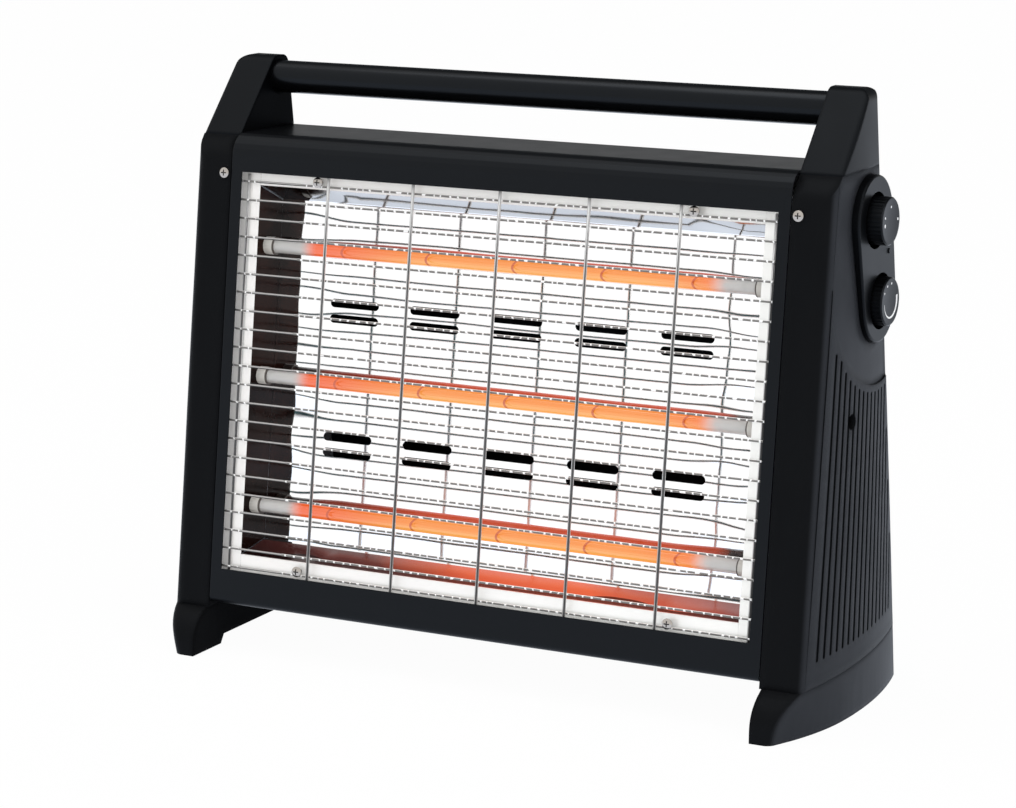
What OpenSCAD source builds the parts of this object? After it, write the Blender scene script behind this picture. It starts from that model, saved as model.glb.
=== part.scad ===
// Three-tube radiant heater with a leaning front, moulded side housings and a round carrying bar.
// X runs to the right, Y to the back and Z up. The front plane meets the floor at y = 0
// before the whole heater is centred over its footprint.

/* [Stance] */
// Backward lean of the front, degrees
front_lean = 8.03; // [5:0.01:11]
// Forward lean of the back, degrees
rear_lean = 6.84; // [4:0.01:9]
// Depth of the body at the floor
body_depth = 168; // [160:1:185]
// Height of the carrying bar's brackets
total_h = 395; // [385:1:415]

/* [Casing] */
// Width of a side housing at the floor
housing_w = 38; // [35:0.5:41]
// Thickness of the casing sheet
sheet_t = 0.8; // [0.6:0.1:1.2]
// Height of the casing's lower front edge
casing_z = 33.3; // [32:0.1:36]
// Height of the handle over the casing's top bend
handle_h = 46.7; // [44:0.1:50]
// Fall of the casing's top to the back, degrees
top_fall = 1.74; // [0:0.01:3]
// Outer radius of the top bend
bend_r = 15; // [8:0.5:20]
// Sheet left beside the window
window_side = 8; // [7:0.5:15]
// Lower edge of the window, along the front
window_low = 58.1; // [56:0.1:60]
// Sheet left above the window, along the front
window_head = 25.1; // [20:0.1:30]
// Length of an air slot in the back
vent_l = 30; // [15:1:34]
// Height of an air slot in the back
vent_h = 5; // [3:0.5:6]
// Number of air slots in a row
vent_columns = 9; // [5:1:9]
// Number of rows in each group of air slots
vent_rows = 4; // [2:1:5]

/* [Side housings] */
// Half width over the housings at the floor
body_half = 241; // [238:0.5:246]
// Radius of the bowed side
bow_r = 337; // [300:1:400]
// Distance of the bow's crest behind the front
bow_y = 85; // [75:1:95]
// Inward lean of the side, degrees
side_lean = 1.32; // [0.8:0.01:1.8]
// Wall of the moulded housings
wall = 2.5; // [2:0.1:3]
// Radius of the front outer corner
front_corner_r = 7; // [5:0.5:9]
// Radius of the rear outer corner
rear_corner_r = 8; // [5:0.5:10]
// Gap between casing and housing
seam_gap = 0.6; // [0.4:0.1:0.9]
// Height of the seam over the foot, at the front plane
foot_seam_z = 30; // [28:0.5:32]
// Rise of that seam to the back, degrees
foot_seam_rise = 2.29; // [1:0.01:3]
// Height of a bracket over its seam
bracket_h = 49; // [46:0.5:52]
// Number of flutes on each side
flute_count = 16; // [8:1:16]
// Spacing of the flutes at the floor
flute_pitch = 7.96; // [7:0.01:8]
// Width of a flute
flute_w = 2.6; // [2:0.1:3.2]
// Depth of a flute
flute_depth = 1.2; // [0.8:0.1:1.4]
// Depth of the scooped zone at its lower rim
scoop_depth = 1.2; // [0.6:0.1:1.4]
// Diameter of the deep screw recess in the side
recess_d = 10.5; // [9:0.1:12]

/* [Feet] */
// Forward flare of the foot at the floor
foot_flare = 14; // [10:0.5:18]
// Step from the casing's side to the foot's inner face
foot_step = 2; // [1:0.5:5]
// Length of the pads at each end of the foot
pad_l = 35; // [28:1:45]
// Height of the recess between the pads, under the foot's inner wall
arch_h = 6; // [5:0.5:7]
// Outer wall of the foot, which stands on the floor all along
foot_wall = 7; // [5:0.5:10]

/* [Handle] */
// Depth of the bracket's flat top
bracket_top = 17.2; // [15:0.1:20]
// Step from the front plane to the foot of the bracket's slanted face
bracket_step = 9.2; // [8:0.1:11]
// Clearance between the bracket and the casing's side
bracket_gap = 0.4; // [0.3:0.1:0.8]
// Wall of the bracket
bracket_wall = 3; // [2.5:0.1:3.5]
// Diameter of the carrying bar
bar_d = 22; // [18:0.5:23]
// Wall of the carrying bar
bar_wall = 1.5; // [1:0.1:3]
// Distance of the bar's axis from the back
bar_set = 13.7; // [13:0.1:15]
// Distance of the bar's axis below the top
bar_drop = 14.4; // [14:0.1:16]
// Length of the bar inside each bracket
bar_seat = 14; // [10:0.5:16]

/* [Reflector] */
// Thickness of the reflector sheet
mirror_t = 0.8; // [0.5:0.1:1]
// Depth of the reflector's flange behind the front
flange_w = 6.9; // [6.8:0.1:8]
// Depth of the reflector's back wall behind the front
mirror_w = 36.4; // [33:0.1:40]
// Width of the flange seen beside the trough
trough_side = 11; // [9:0.5:15]
// Length of a reflector slot
slot_l = 37.4; // [30:0.1:42]
// Height of a reflector slot
slot_h = 5.8; // [4:0.1:7]
// Plain sheet beyond the last slot of a row
slot_margin = 42.2; // [30:0.1:60]
// Spacing of the two slots in a pair
pair_pitch = 10.5; // [8:0.1:12]

/* [Heating tubes] */
// Diameter of the quartz tubes
tube_d = 9.6; // [8:0.1:11]
// Wall of the quartz tubes
tube_wall = 1; // [0.8:0.1:1.2]
// Distance of the lowest tube from the window's lower edge
tube_rise = 43.9; // [40:0.1:50]
// Distance of the highest tube from the window's upper edge
tube_drop = 48.6; // [45:0.1:55]
// Depth of the tubes behind the front
tube_w = 20; // [18:0.5:24]
// Length of the cold end of a tube
cold_end = 38; // [30:1:45]
// Distance of the tubes' ends from the casing's sides
tube_side = 13; // [12:0.5:15]
// Diameter of the wound element
element_d = 6.4; // [4:0.1:7]
// Diameter of the ceramic caps
cap_d = 12; // [11.6:0.1:14]
// Length of tube that a ceramic cap covers
cap_cover = 13.4; // [12:0.1:17]

/* [Guard] */
// Diameter of the upright wires
upright_d = 2.2; // [1.8:0.1:2.4]
// Diameter of the cross wires
cross_d = 1.6; // [1.4:0.1:1.8]
// Number of cross wires
cross_count = 22; // [12:1:24]
// Distance of the lowest cross wire from the window's lower edge
cross_rise = 1.9; // [1:0.1:6]
// Distance of the highest cross wire from the window's upper edge
cross_drop = 6; // [2:0.1:10]
// Number of upright wires in the window
upright_count = 5; // [3:2:5]

/* [Controls] */
// Depth of the pod's face behind the housing's width at the floor
pod_set = 2.5; // [1:0.1:4]
// Distance of the selector's axis from the back
selector_set = 30.9; // [30:0.1:32]
// Distance of the selector's axis below the bracket's seam
selector_drop = 32.3; // [31:0.1:36]
// Distance of the thermostat's axis from the back
thermostat_set = 27.7; // [27:0.1:29]
// Distance between the axes of the two controls, in height
control_pitch = 52.7; // [50:0.1:56]
// Radius of the pod's broad end
pod_top_r = 28.5; // [26:0.1:30]
// Radius of the pod's narrow end
pod_low_r = 26.5; // [23:0.1:27]
// Diameter of the wells round the knobs
well_d = 36; // [34:0.5:38]
// Diameter of the selector knob
selector_d = 31; // [26:0.5:32]
// Diameter of the thermostat knob
thermostat_d = 31.5; // [26:0.5:32]
// Selector knob's stand above the pod
selector_proud = 9.5; // [7:0.1:11]
// Thermostat knob's stand above the pod
thermostat_proud = 6.5; // [5:0.1:9]
// Diameter of the spindles
spindle_d = 6; // [5:0.1:6.5]
// Radial clearance of the spindles in their bushes
spindle_gap = 0.06; // [0.02:0.01:0.1]
// Side of the switch bodies
switch_side = 32; // [28:0.5:33]
// Depth of the switch bodies
switch_depth = 18; // [15:0.5:19]

/* [Fasteners] */
// Diameter of the pan heads
pan_d = 7; // [6:0.1:8]
// Height of the pan heads
pan_h = 1.8; // [1.4:0.1:2]
// Diameter of the thin screws' shanks
thin_d = 3; // [2.5:0.1:3.2]
// Diameter of the housing screws' shanks
shank_d = 3.8; // [3.5:0.1:4.2]
// Clearance of a screw in its hole, on the diameter
hole_play = 0.4; // [0.3:0.1:0.8]

/* [Hidden] */
$fn = 48;
far = 600;
sit = 0.1;

// Depth of the front plane and of the rear plane at height z
function front_y(z) = z * tan(front_lean);
function rear_y(z) = body_depth - z * tan(rear_lean);

// Positions that follow the overall sizes
casing_half = body_half - housing_w;
casing_top = total_h - handle_h;
bracket_seam_z = total_h - bracket_h;
window_half = casing_half - window_side;
window_high = casing_top / cos(front_lean) - window_head;
foot_in = casing_half + foot_step;
bracket_in = casing_half + bracket_gap;
trough_half = window_half - trough_side;
slot_pitch = (trough_half - slot_l / 2 - slot_margin) / 2;
tube_low = window_low + tube_rise;
tube_pitch = (window_high - tube_drop - tube_low) / 2;
tube_half = casing_half - tube_side;
glow_half = tube_half - cold_end;
cap_in = tube_half - cap_cover;
cross_low = window_low + cross_rise;
cross_high = window_high - cross_drop;
upright_pitch = 2 * (window_half - 2.4) / (upright_count + 1);
pod_face = body_half - pod_set;
selector_z = bracket_seam_z - selector_drop;
thermostat_z = selector_z - control_pitch;
bar_z = total_h - bar_drop;
bar_y = rear_y(bar_z) - bar_set;
selector_y = rear_y(selector_z) - selector_set;
thermostat_y = rear_y(thermostat_z) - thermostat_set;
bracket_front_y = front_y(bracket_seam_z) + bracket_step;
bracket_slope = atan2(bracket_h, rear_y(total_h) - bracket_top - bracket_front_y);

// Colours
black_paint = [0.10, 0.10, 0.11];
black_plastic = [0.14, 0.14, 0.15];
polished = [0.88, 0.89, 0.90];
zinc = [0.72, 0.73, 0.75];
glow = [0.98, 0.55, 0.20];
quartz = [0.92, 0.92, 0.94];
ceramic = [0.94, 0.93, 0.90];

// Plane geometry of the side view, as points [y, z]
front_dir = [sin(front_lean), cos(front_lean)];
rear_dir = [-sin(rear_lean), cos(rear_lean)];
seam_dir = [cos(foot_seam_rise), sin(foot_seam_rise)];
top_dir = [cos(top_fall), -sin(top_fall)];
slope_dir = [cos(bracket_slope), sin(bracket_slope)];
rear_foot = [body_depth, 0];
bracket_foot = [bracket_front_y, bracket_seam_z];

function unit(v) = v / norm(v);
function meet(p, u, q, v) = p + u * cross(q - p, v) / cross(u, v);
function wrap(p, i) = p[(i + len(p)) % len(p)];
function reversed(p) = [for (i = [len(p) - 1 : -1 : 0]) p[i]];

// Points of the arc that rounds the corner b between a and c
function corner_arc(a, b, c, r, n) =
    let (
        u = unit(a - b),
        v = unit(c - b),
        half = acos(u * v) / 2,
        centre = b + unit(u + v) * r / sin(half),
        first = b + u * r / tan(half) - centre,
        last = b + v * r / tan(half) - centre,
        turn = 180 - 2 * half
    )
    [for (i = [0 : n]) centre + (first * sin(turn * (1 - i / n)) + last * sin(turn * i / n)) / sin(turn)];

// Closed outline with rounded corners
function rounded(p, radii, n = 6) = [
    for (i = [0 : len(p) - 1])
        each (radii[i] > 0 ? corner_arc(wrap(p, i - 1), p[i], wrap(p, i + 1), radii[i], n) : [p[i]])
];

// Closed outline, run anticlockwise, moved inward by d
function inset(p, d) = [
    for (i = [0 : len(p) - 1])
        let (
            a = unit(p[i] - wrap(p, i - 1)),
            b = unit(wrap(p, i + 1) - p[i]),
            na = [-a[1], a[0]],
            nb = [-b[1], b[0]]
        )
        p[i] + (na + nb) * d / (1 + na * nb)
];

// One side of a bent sheet whose middle line runs through p
function sheet_side(p, d) = [
    for (i = [0 : len(p) - 1])
        let (
            a = unit(i == 0 ? p[1] - p[0] : p[i] - p[i - 1]),
            b = i == len(p) - 1 ? a : unit(p[i + 1] - p[i]),
            na = [-a[1], a[0]],
            nb = [-b[1], b[0]]
        )
        p[i] + (na + nb) * d / (1 + na * nb)
];
function bent_sheet(p, t) = concat(sheet_side(p, t / 2), reversed(sheet_side(p, -t / 2)));

// Corners of the casing in side view: lower front, lower rear, upper rear, upper front
casing_low = [front_y(casing_z), casing_z];
casing_peak = [front_y(casing_top), casing_top];
casing_corners = [
    casing_low,
    meet(casing_low, seam_dir, rear_foot, rear_dir),
    meet(casing_peak, top_dir, rear_foot, rear_dir),
    casing_peak
];
casing_radii = [4, 3, 3, bend_r];
function casing_outline(d) = rounded(inset(casing_corners, d), [for (r = casing_radii) max(r - d, 0.5)]);

// Corners of a side housing in side view, from the lower front round to the upper front
seam_foot = [0, foot_seam_z];
panel_corners = [
    meet([0, 0], front_dir, seam_foot, seam_dir),
    meet(rear_foot, rear_dir, seam_foot, seam_dir),
    meet(rear_foot, rear_dir, bracket_foot, [1, 0]),
    bracket_foot,
    meet([0, 0], front_dir, bracket_foot, slope_dir)
];
function panel_outline(d) = rounded(inset(panel_corners, d), [0, 0, 0, 0, bend_r - d]);

// Corners of a bracket in side view
bracket_peak = [0, total_h];
bracket_corners = [
    bracket_foot,
    meet(rear_foot, rear_dir, bracket_foot, [1, 0]),
    meet(rear_foot, rear_dir, bracket_peak, [1, 0]),
    meet(bracket_foot, slope_dir, bracket_peak, [1, 0])
];
bracket_radii = [0, 0, 8, 10];
function bracket_outline(d) = rounded(inset(bracket_corners, d), [for (r = bracket_radii) max(r - d, 0)]);

// The bowed side of the housings
function bow_x(y, z) =
    body_half - z * tan(side_lean) - bow_r + sqrt(bow_r * bow_r - (y - bow_y) * (y - bow_y));
function bow_turn(y) = asin(abs(y - bow_y) / bow_r);
function corner_x(y, z, r) = bow_x(y, z) + r * tan(bow_turn(y)) - r / cos(bow_turn(y));

// Inner edge of the housings, end plates and what stands on them
panel_in = casing_half + seam_gap;
plate_out = casing_half - 2;
plate_in = plate_out - 1;
pod_floor = pod_face - 10.5;
switch_front = pod_floor - wall;
well_floor = pod_face - 7.5;
knob_gap = 2.8;
knob_back = well_floor + knob_gap;
knob_web = 3;
knob_wall = 2;
flat_cut = 1.2;
selector_face = pod_face + selector_proud;
thermostat_face = pod_face + thermostat_proud;
selector_at = [selector_y, selector_z];
thermostat_at = [thermostat_y, thermostat_z];
recess_at = [69.8, 190.4];
tube_heights = [for (i = [0 : 2]) tube_low + i * tube_pitch];
cap_out = tube_half + 6;
pin_out = cap_out + 9;

// The footprint, which ends at the knob's face, is centred on the origin
origin_shift = [(body_half - selector_face) / 2, (foot_flare - body_depth) / 2, 0];

// Extrudes a side view, drawn as [y, z], from x0 to x1
module across(x0, x1) {
    translate([x0, 0, 0])
        rotate([90, 0, 90])
            linear_extrude(x1 - x0)
                children();
}

// Puts children drawn with y behind the front plane and z along it into the leaning front
module on_front() {
    rotate([-front_lean, 0, 0])
        children();
}

// Puts children drawn with y behind the rear plane and z along it into the leaning back
module on_back() {
    translate([0, body_depth, 0])
        rotate([rear_lean, 0, 0])
            children();
}

module left_side() {
    mirror([1, 0, 0])
        children();
}

// Rod along X
module rod(x0, x1, d) {
    translate([x0, 0, 0])
        rotate([0, 90, 0])
            cylinder(h = x1 - x0, d = d);
}

// Rod along Y
module rod_y(y0, y1, d) {
    translate([0, y1, 0])
        rotate([90, 0, 0])
            cylinder(h = y1 - y0, d = d);
}

// Pan head screw along -Z with its head's seat at z = 0 and a cross recess
module pan_screw(shank, length) {
    difference() {
        union() {
            intersection() {
                cylinder(h = pan_h, d = pan_d);
                translate([0, 0, pan_h - pan_d])
                    sphere(r = pan_d);
            }
            translate([0, 0, -length])
                cylinder(h = length + sit, d = shank);
        }
        for (turn = [0, 90])
            rotate([0, 0, turn])
                translate([-pan_d * 0.28, -0.4, pan_h * 0.45])
                    cube([pan_d * 0.56, 0.8, pan_h]);
    }
}

// Outline of a slot with round ends, length l and height h, centred
module slot(l, h) {
    square([l - h, h], center = true);
    for (side = [-1, 1])
        translate([side * (l - h) / 2, 0])
            circle(d = h, $fn = 24);
}

// ---- sheet metal

guard_screw_x = (upright_count - 1) / 2 * upright_pitch + 8.6;
guard_screw_low = cross_low + 2.5;
guard_screw_high = cross_high + 2.5;

module front_casing() {
    color(black_paint)
        difference() {
            across(-casing_half, casing_half)
                difference() {
                    polygon(casing_outline(0));
                    polygon(casing_outline(sheet_t));
                    // open behind the bottom flange and at the back
                    polygon([
                        casing_corners[0] + [flange_l, -5],
                        casing_corners[1] + [20, -5],
                        casing_corners[2] + [20, -3.2],
                        casing_corners[2] + [-8, -3.2],
                        casing_corners[2] + [-8, -30],
                        casing_corners[0] + [flange_l, 25]
                    ]);
                }
            on_front()
                translate([-window_half, -5, window_low])
                    cube([2 * window_half, 10, window_high - window_low]);
        }
}

back_low = 41.2;
back_high = casing_top - 4.3;
vent_pitch = (2 * casing_half - 46) / vent_columns;
vent_row_pitch = 11;
vent_margin = 34;
rear_screw_x = casing_half - 13;
rear_screw_z = [back_low + 12, back_high - 12];
rear_screw_l = 8;

module rear_cover() {
    low_group = back_low + vent_margin / 2;
    high_group = back_high - vent_margin - vent_rows * vent_row_pitch;
    color(black_paint)
        difference() {
            on_back()
                translate([0, -sheet_t, 0])
                    rotate([90, 0, 0])
                        mirror([0, 0, 1])
                            linear_extrude(sheet_t)
                                difference() {
                                    translate([-casing_half, back_low])
                                        square([2 * casing_half, back_high - back_low]);
                                    for (group = [low_group, high_group])
                                        for (row = [0 : vent_rows - 1])
                                            for (i = [0 : vent_columns - 1])
                                                translate([
                                                    (i - (vent_columns - 1) / 2) * vent_pitch,
                                                    group + row * vent_row_pitch
                                                ])
                                                    slot(vent_l, vent_h);
                                    for (side = [-1, 1])
                                        for (z = rear_screw_z)
                                            translate([side * rear_screw_x, z])
                                                circle(d = shank_d + hole_play);
                                }
        }
}

flange_l = 18;
bottom_vent_y = [50, 80, 110];
bottom_vent_x = 50;

module bottom_plate() {
    middle = inset(casing_corners, sheet_t / 2);
    color(black_paint)
        difference() {
            across(-plate_out, plate_out)
                polygon(bent_sheet([
                    middle[0] + (flange_l + 0.3) * seam_dir,
                    middle[1] - 0.1 * seam_dir
                ], sheet_t));
            for (i = [-3 : 3])
                for (y = bottom_vent_y)
                    translate([i * bottom_vent_x, y, 0])
                        linear_extrude(far)
                            slot(vent_l, vent_h);
        }
}

// Holes in an end plate where the caps' terminal pins pass
wire_hole_d = 14;

module end_plate() {
    color(zinc)
        difference() {
            union() {
                across(plate_in, plate_out)
                    polygon(casing_outline(sheet_t + sit));
                // flange that turns inward along the top, back and bottom
                across(plate_in - 7, plate_in + sit)
                    difference() {
                        polygon(casing_outline(sheet_t + sit));
                        polygon(casing_outline(sheet_t + sit + 1));
                        polygon([
                            [-10, -10],
                            [60, -10],
                            [60, 60],
                            [70, casing_top + 20],
                            [-10, casing_top + 20]
                        ]);
                    }
                // tab behind the housing's front wall
                on_front()
                    translate([plate_in, wall + 3.2, front_screw_v - 12])
                        cube([17, 1.2, 24]);
            }
            on_front()
                for (v = tube_heights)
                    translate([0, tube_w, v])
                        rod(plate_in - 1, plate_out + 1, wire_hole_d);
            translate([0, recess_at[0], recess_at[1]])
                rod(plate_in - 1, plate_out + 1, shank_d - 0.6);
            translate([0, wire_run[0], wire_run[1]])
                rod(plate_in - 1, plate_out + 1, wire_d + 0.6);
            on_front()
                translate([front_screw_x, 0, front_screw_v])
                    rod_y(0, 12, thin_d + sit);
        }
}

// ---- moulded side housings

front_screw_x = casing_half + 5.5;
front_screw_v = window_high - 1.4;
foot_screw_x = casing_half + 13;
foot_screw_y = [44, body_depth - 44];
foot_screw_l = 38;
bracket_screw_x = casing_half + 18;
bracket_screw_l = 15;
bracket_screw_y = [bracket_front_y + 18, rear_y(bracket_seam_z) - 14.5];

// The body of the bowed cylinder, moved inward by d
module bow(d) {
    translate([body_half - bow_r, bow_y, 0])
        rotate([0, side_lean, 180])
            translate([0, 0, -40])
                cylinder(h = far, r = bow_r - d, $fn = 180);
}

// The rounded corners stand out of the flat faces by this much before they are cut
corner_bite = 0.02;

// What is cut off to round the front outer corner, moved inward by d
module front_corner(d) {
    z0 = foot_seam_z;
    z1 = bracket_seam_z;
    x0 = corner_x(front_y(z0), z0, front_corner_r);
    x1 = corner_x(front_y(z1), z1, front_corner_r);
    turn = bow_turn(front_y((z0 + z1) / 2));
    reach = front_corner_r - (front_corner_r - d) * sin(turn);
    on_front()
        rotate([0, atan((x1 - x0) / (z1 - z0)), 0])
            translate([x0 - (x1 - x0) * z0 / (z1 - z0), 0, -20])
                linear_extrude(far)
                    difference() {
                        translate([0, -20])
                            square([60, 20 + reach]);
                        translate([0, front_corner_r - corner_bite])
                            rotate(180)
                                circle(r = front_corner_r - d);
                    }
}

// What is cut off to round the rear outer corner, moved inward by d
module rear_corner(d) {
    z0 = foot_seam_z;
    z1 = bracket_seam_z;
    x0 = corner_x(rear_y(z0), z0, rear_corner_r);
    x1 = corner_x(rear_y(z1), z1, rear_corner_r);
    turn = bow_turn(rear_y((z0 + z1) / 2));
    reach = rear_corner_r - (rear_corner_r - d) * sin(turn);
    on_back()
        rotate([0, atan((x1 - x0) / (z1 - z0)), 0])
            translate([x0 - (x1 - x0) * z0 / (z1 - z0), 0, -20])
                linear_extrude(far)
                    difference() {
                        translate([0, -reach])
                            square([60, 20 + reach]);
                        translate([0, corner_bite - rear_corner_r])
                            rotate(180)
                                circle(r = rear_corner_r - d);
                    }
}

// Solid housing, moved inward by d and open or closed towards the casing
module panel_solid(d, x0) {
    difference() {
        intersection() {
            across(x0, body_half + 10)
                polygon(panel_outline(d));
            bow(d);
        }
        front_corner(d);
        rear_corner(d);
    }
}

// Flutes: slots across the side that stop at one depth below the bowed surface
scoop_centre = [thermostat_y + 11, thermostat_z + 1];
scoop_radii = [75, 56];
flute_first = 16.8;
flute_lean = 0.1356;
flute_gather = 0.0034;

function flute_y(k, z) = flute_first + k * flute_pitch + z * (flute_lean - k * flute_gather);
function scoop_rim(y) =
    let (t = min(1, abs(y - scoop_centre[0]) / scoop_radii[0]))
    scoop_centre[1] - scoop_radii[1] * sqrt(1 - t * t);
function flute_top(k) =
    let (
        guess = scoop_rim(flute_y(k, scoop_centre[1] - 47)) - 3,
        slope = flute_lean - k * flute_gather,
        rear = (body_depth - 11 - flute_first - k * flute_pitch) / (slope + tan(rear_lean))
    )
    min(k == 0 ? scoop_centre[1] - 23 : guess, rear);

module flutes() {
    difference() {
        for (k = [0 : flute_count - 1]) {
            low = 15.5 + foot_seam_z + 0.04 * flute_y(k, 50);
            high = flute_top(k);
            tilt = atan(flute_lean - k * flute_gather);
            translate([bow_x(flute_y(k, low), low) - 12, flute_y(k, low), low])
                rotate([-tilt, 0, 0])
                    rotate([90, 0, 90])
                        linear_extrude(30)
                            translate([0, (high - low) / 2])
                                rotate(90)
                                    slot(high - low, flute_w);
        }
        bow(flute_depth);
    }
}

// Shallow scoop round the controls, deepest at its lower rim and fading out upwards
scoop_fade_z = bracket_seam_z - 16;

module scoop() {
    fade = scoop_depth / (scoop_fade_z - scoop_centre[1] + scoop_radii[1]);
    rim = [for (a = [180 : 7.5 : 360]) scoop_centre + [scoop_radii[0] * cos(a), scoop_radii[1] * sin(a)]];
    difference() {
        across(body_half - 30, body_half + 10)
            polygon(concat(rim, [
                [scoop_centre[0] + scoop_radii[0], bracket_seam_z + 5],
                [scoop_centre[0] - scoop_radii[0], bracket_seam_z + 5]
            ]));
        translate([body_half - bow_r - fade * scoop_fade_z, bow_y, 0])
            rotate([0, atan(tan(side_lean) - fade), 180])
                translate([0, 0, -40])
                    cylinder(h = far, r = bow_r, $fn = 180);
    }
}

// Egg outline of the pod, grown by d: two arcs joined by their outer tangents
module egg(d) {
    along = thermostat_at - selector_at;
    heading = atan2(along[1], along[0]);
    spread = acos((pod_top_r - pod_low_r) / norm(along));
    steps = 28;
    polygon(concat(
        [
            for (i = [0 : steps])
                let (a = heading + spread + (360 - 2 * spread) * i / steps)
                selector_at + (pod_top_r + d) * [cos(a), sin(a)]
        ],
        [
            for (i = [0 : steps])
                let (a = heading - spread + 2 * spread * i / steps)
                thermostat_at + (pod_low_r + d) * [cos(a), sin(a)]
        ]
    ));
}

module at_controls() {
    for (p = [selector_at, thermostat_at])
        translate([0, p[0], p[1]])
            children();
}

bush_d = 9;
blade_z = [-9, 0, 9];
blade_l = 5;
control_screw_pitch = 20;
control_screw_l = 12;

// Holes for the bush and the two fixing screws of each control
module control_holes(x0, x1) {
    at_controls() {
        rod(x0, x1, bush_d + hole_play);
        for (side = [-1, 1])
            translate([0, side * control_screw_pitch / 2, 0])
                rod(x0, x1, thin_d + hole_play);
    }
}

tower_d = 15;
rib_z = [130, 160];
boss_d = 9;
gland_v = 62;
gland_x = casing_half + 12;
gland_d = 14;

// Bosses and towers inside a housing
module panel_bosses() {
    translate([0, recess_at[0], recess_at[1]])
        rod(plate_out, body_half, tower_d);
    for (y = foot_screw_y)
        translate([foot_screw_x, y, 0])
            cylinder(h = foot_seam_z + 32, d = boss_d);
    // stiffening ribs under the outer wall
    difference() {
        for (z = rib_z)
            across(panel_in + 1, body_half)
                translate([0, z])
                    square([far, 2]);
        bow(wall + 6);
    }
}

module side_panel(with_pod) {
    difference() {
        union() {
            difference() {
                panel_solid(0, panel_in);
                difference() {
                    panel_solid(wall, panel_in + wall);
                    if (with_pod)
                        across(switch_front, body_half + 10)
                            egg(wall);
                }
                // open towards the casing
                across(panel_in - 1, panel_in + wall + sit)
                    polygon(casing_outline(wall + 1));
            }
            intersection() {
                panel_bosses();
                panel_solid(wall / 2, plate_out);
            }
            intersection() {
                on_front()
                    translate([front_screw_x + 1.5, 0, front_screw_v])
                        rod_y(wall / 2, wall + 3.2, boss_d);
                across(panel_in, body_half)
                    square([far, far]);
            }
        }
        flutes();
        scoop();
        // deep screw recess
        translate([0, recess_at[0], recess_at[1]]) {
            rod(panel_in + 2.5, body_half + 5, recess_d);
            rod(plate_out - 1, body_half, shank_d + hole_play);
        }
        on_front()
            translate([front_screw_x, 0, front_screw_v])
                rod_y(-2, wall + 5, thin_d + hole_play);
        for (y = foot_screw_y)
            translate([foot_screw_x, y, foot_seam_z - 10])
                cylinder(h = 36, d = shank_d + sit);
        for (y = bracket_screw_y)
            translate([bracket_screw_x, y, bracket_seam_z - 10])
                cylinder(h = 20, d = shank_d + hole_play);
    }
}

module side_panel_right() {
    color(black_plastic)
        difference() {
            side_panel(true);
            across(pod_floor, body_half + 10)
                egg(0.3);
            control_holes(switch_front - 1, pod_floor + 1);
            on_back()
                translate([gland_x, 0, gland_v])
                    rod_y(-wall - 5, 5, gland_d + hole_play);
        }
}

module side_panel_left() {
    color(black_plastic)
        left_side()
            side_panel(false);
}

// ---- feet

foot_levels = 10;
foot_curve = 3.5;
side_steps = 20;
foot_top = foot_seam_z + 10;

// How far the foot's front and outer corner draw away from the body, from 0 at the seam to 1
function flare(z) = let (t = min(1, z / foot_seam_z)) 1 - pow(t, foot_curve);
function foot_front(z) = z > foot_seam_z
    ? front_y(z)
    : front_y(foot_seam_z) - (foot_flare + front_y(foot_seam_z)) * flare(z);
function foot_side(y, z) = bow_x(y, z) - 0.0016 * pow(max(0, 55 - y), 2) * (1 - min(1, z / foot_seam_z));

// Outline of the foot at height z, as points [x, y, z]
function foot_section(z) =
    let (
        yf = foot_front(z),
        yr = rear_y(z),
        rf = front_corner_r,
        rr = rear_corner_r,
        y0 = yf + 4 * rf / 3,
        y1 = yr - rr,
        side = [
            for (i = [0 : side_steps])
                let (y = i == side_steps / 2 ? bow_y : y0 + (y1 - y0) * i / side_steps)
                [foot_side(y, z), y]
        ],
        outline = concat(
            [[foot_in, yf]],
            corner_arc([foot_in, yf], [foot_side(yf, z), yf], side[0], rf, 6),
            [for (i = [1 : side_steps - 1]) side[i]],
            corner_arc(side[side_steps - 1], [foot_side(yr, z), yr], [foot_in, yr], rr, 6),
            [[foot_in, yr]]
        )
    )
    [for (p = outline) [p[0], p[1], z]];

// Closed solid through sections with equally many points, anticlockwise from above
module loft(sections) {
    n = len(sections[0]);
    m = len(sections);
    polyhedron(
        points = [for (s = sections) each s],
        faces = concat(
            [[for (i = [0 : n - 1]) i]],
            [[for (i = [n - 1 : -1 : 0]) (m - 1) * n + i]],
            [
                for (j = [0 : m - 2])
                    for (i = [0 : n - 1])
                        let (a = j * n, b = a + n, k = (i + 1) % n)
                        each [[a + i, b + i, a + k], [a + k, b + i, b + k]]
            ]
        ),
        convexity = 6
    );
}

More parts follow.
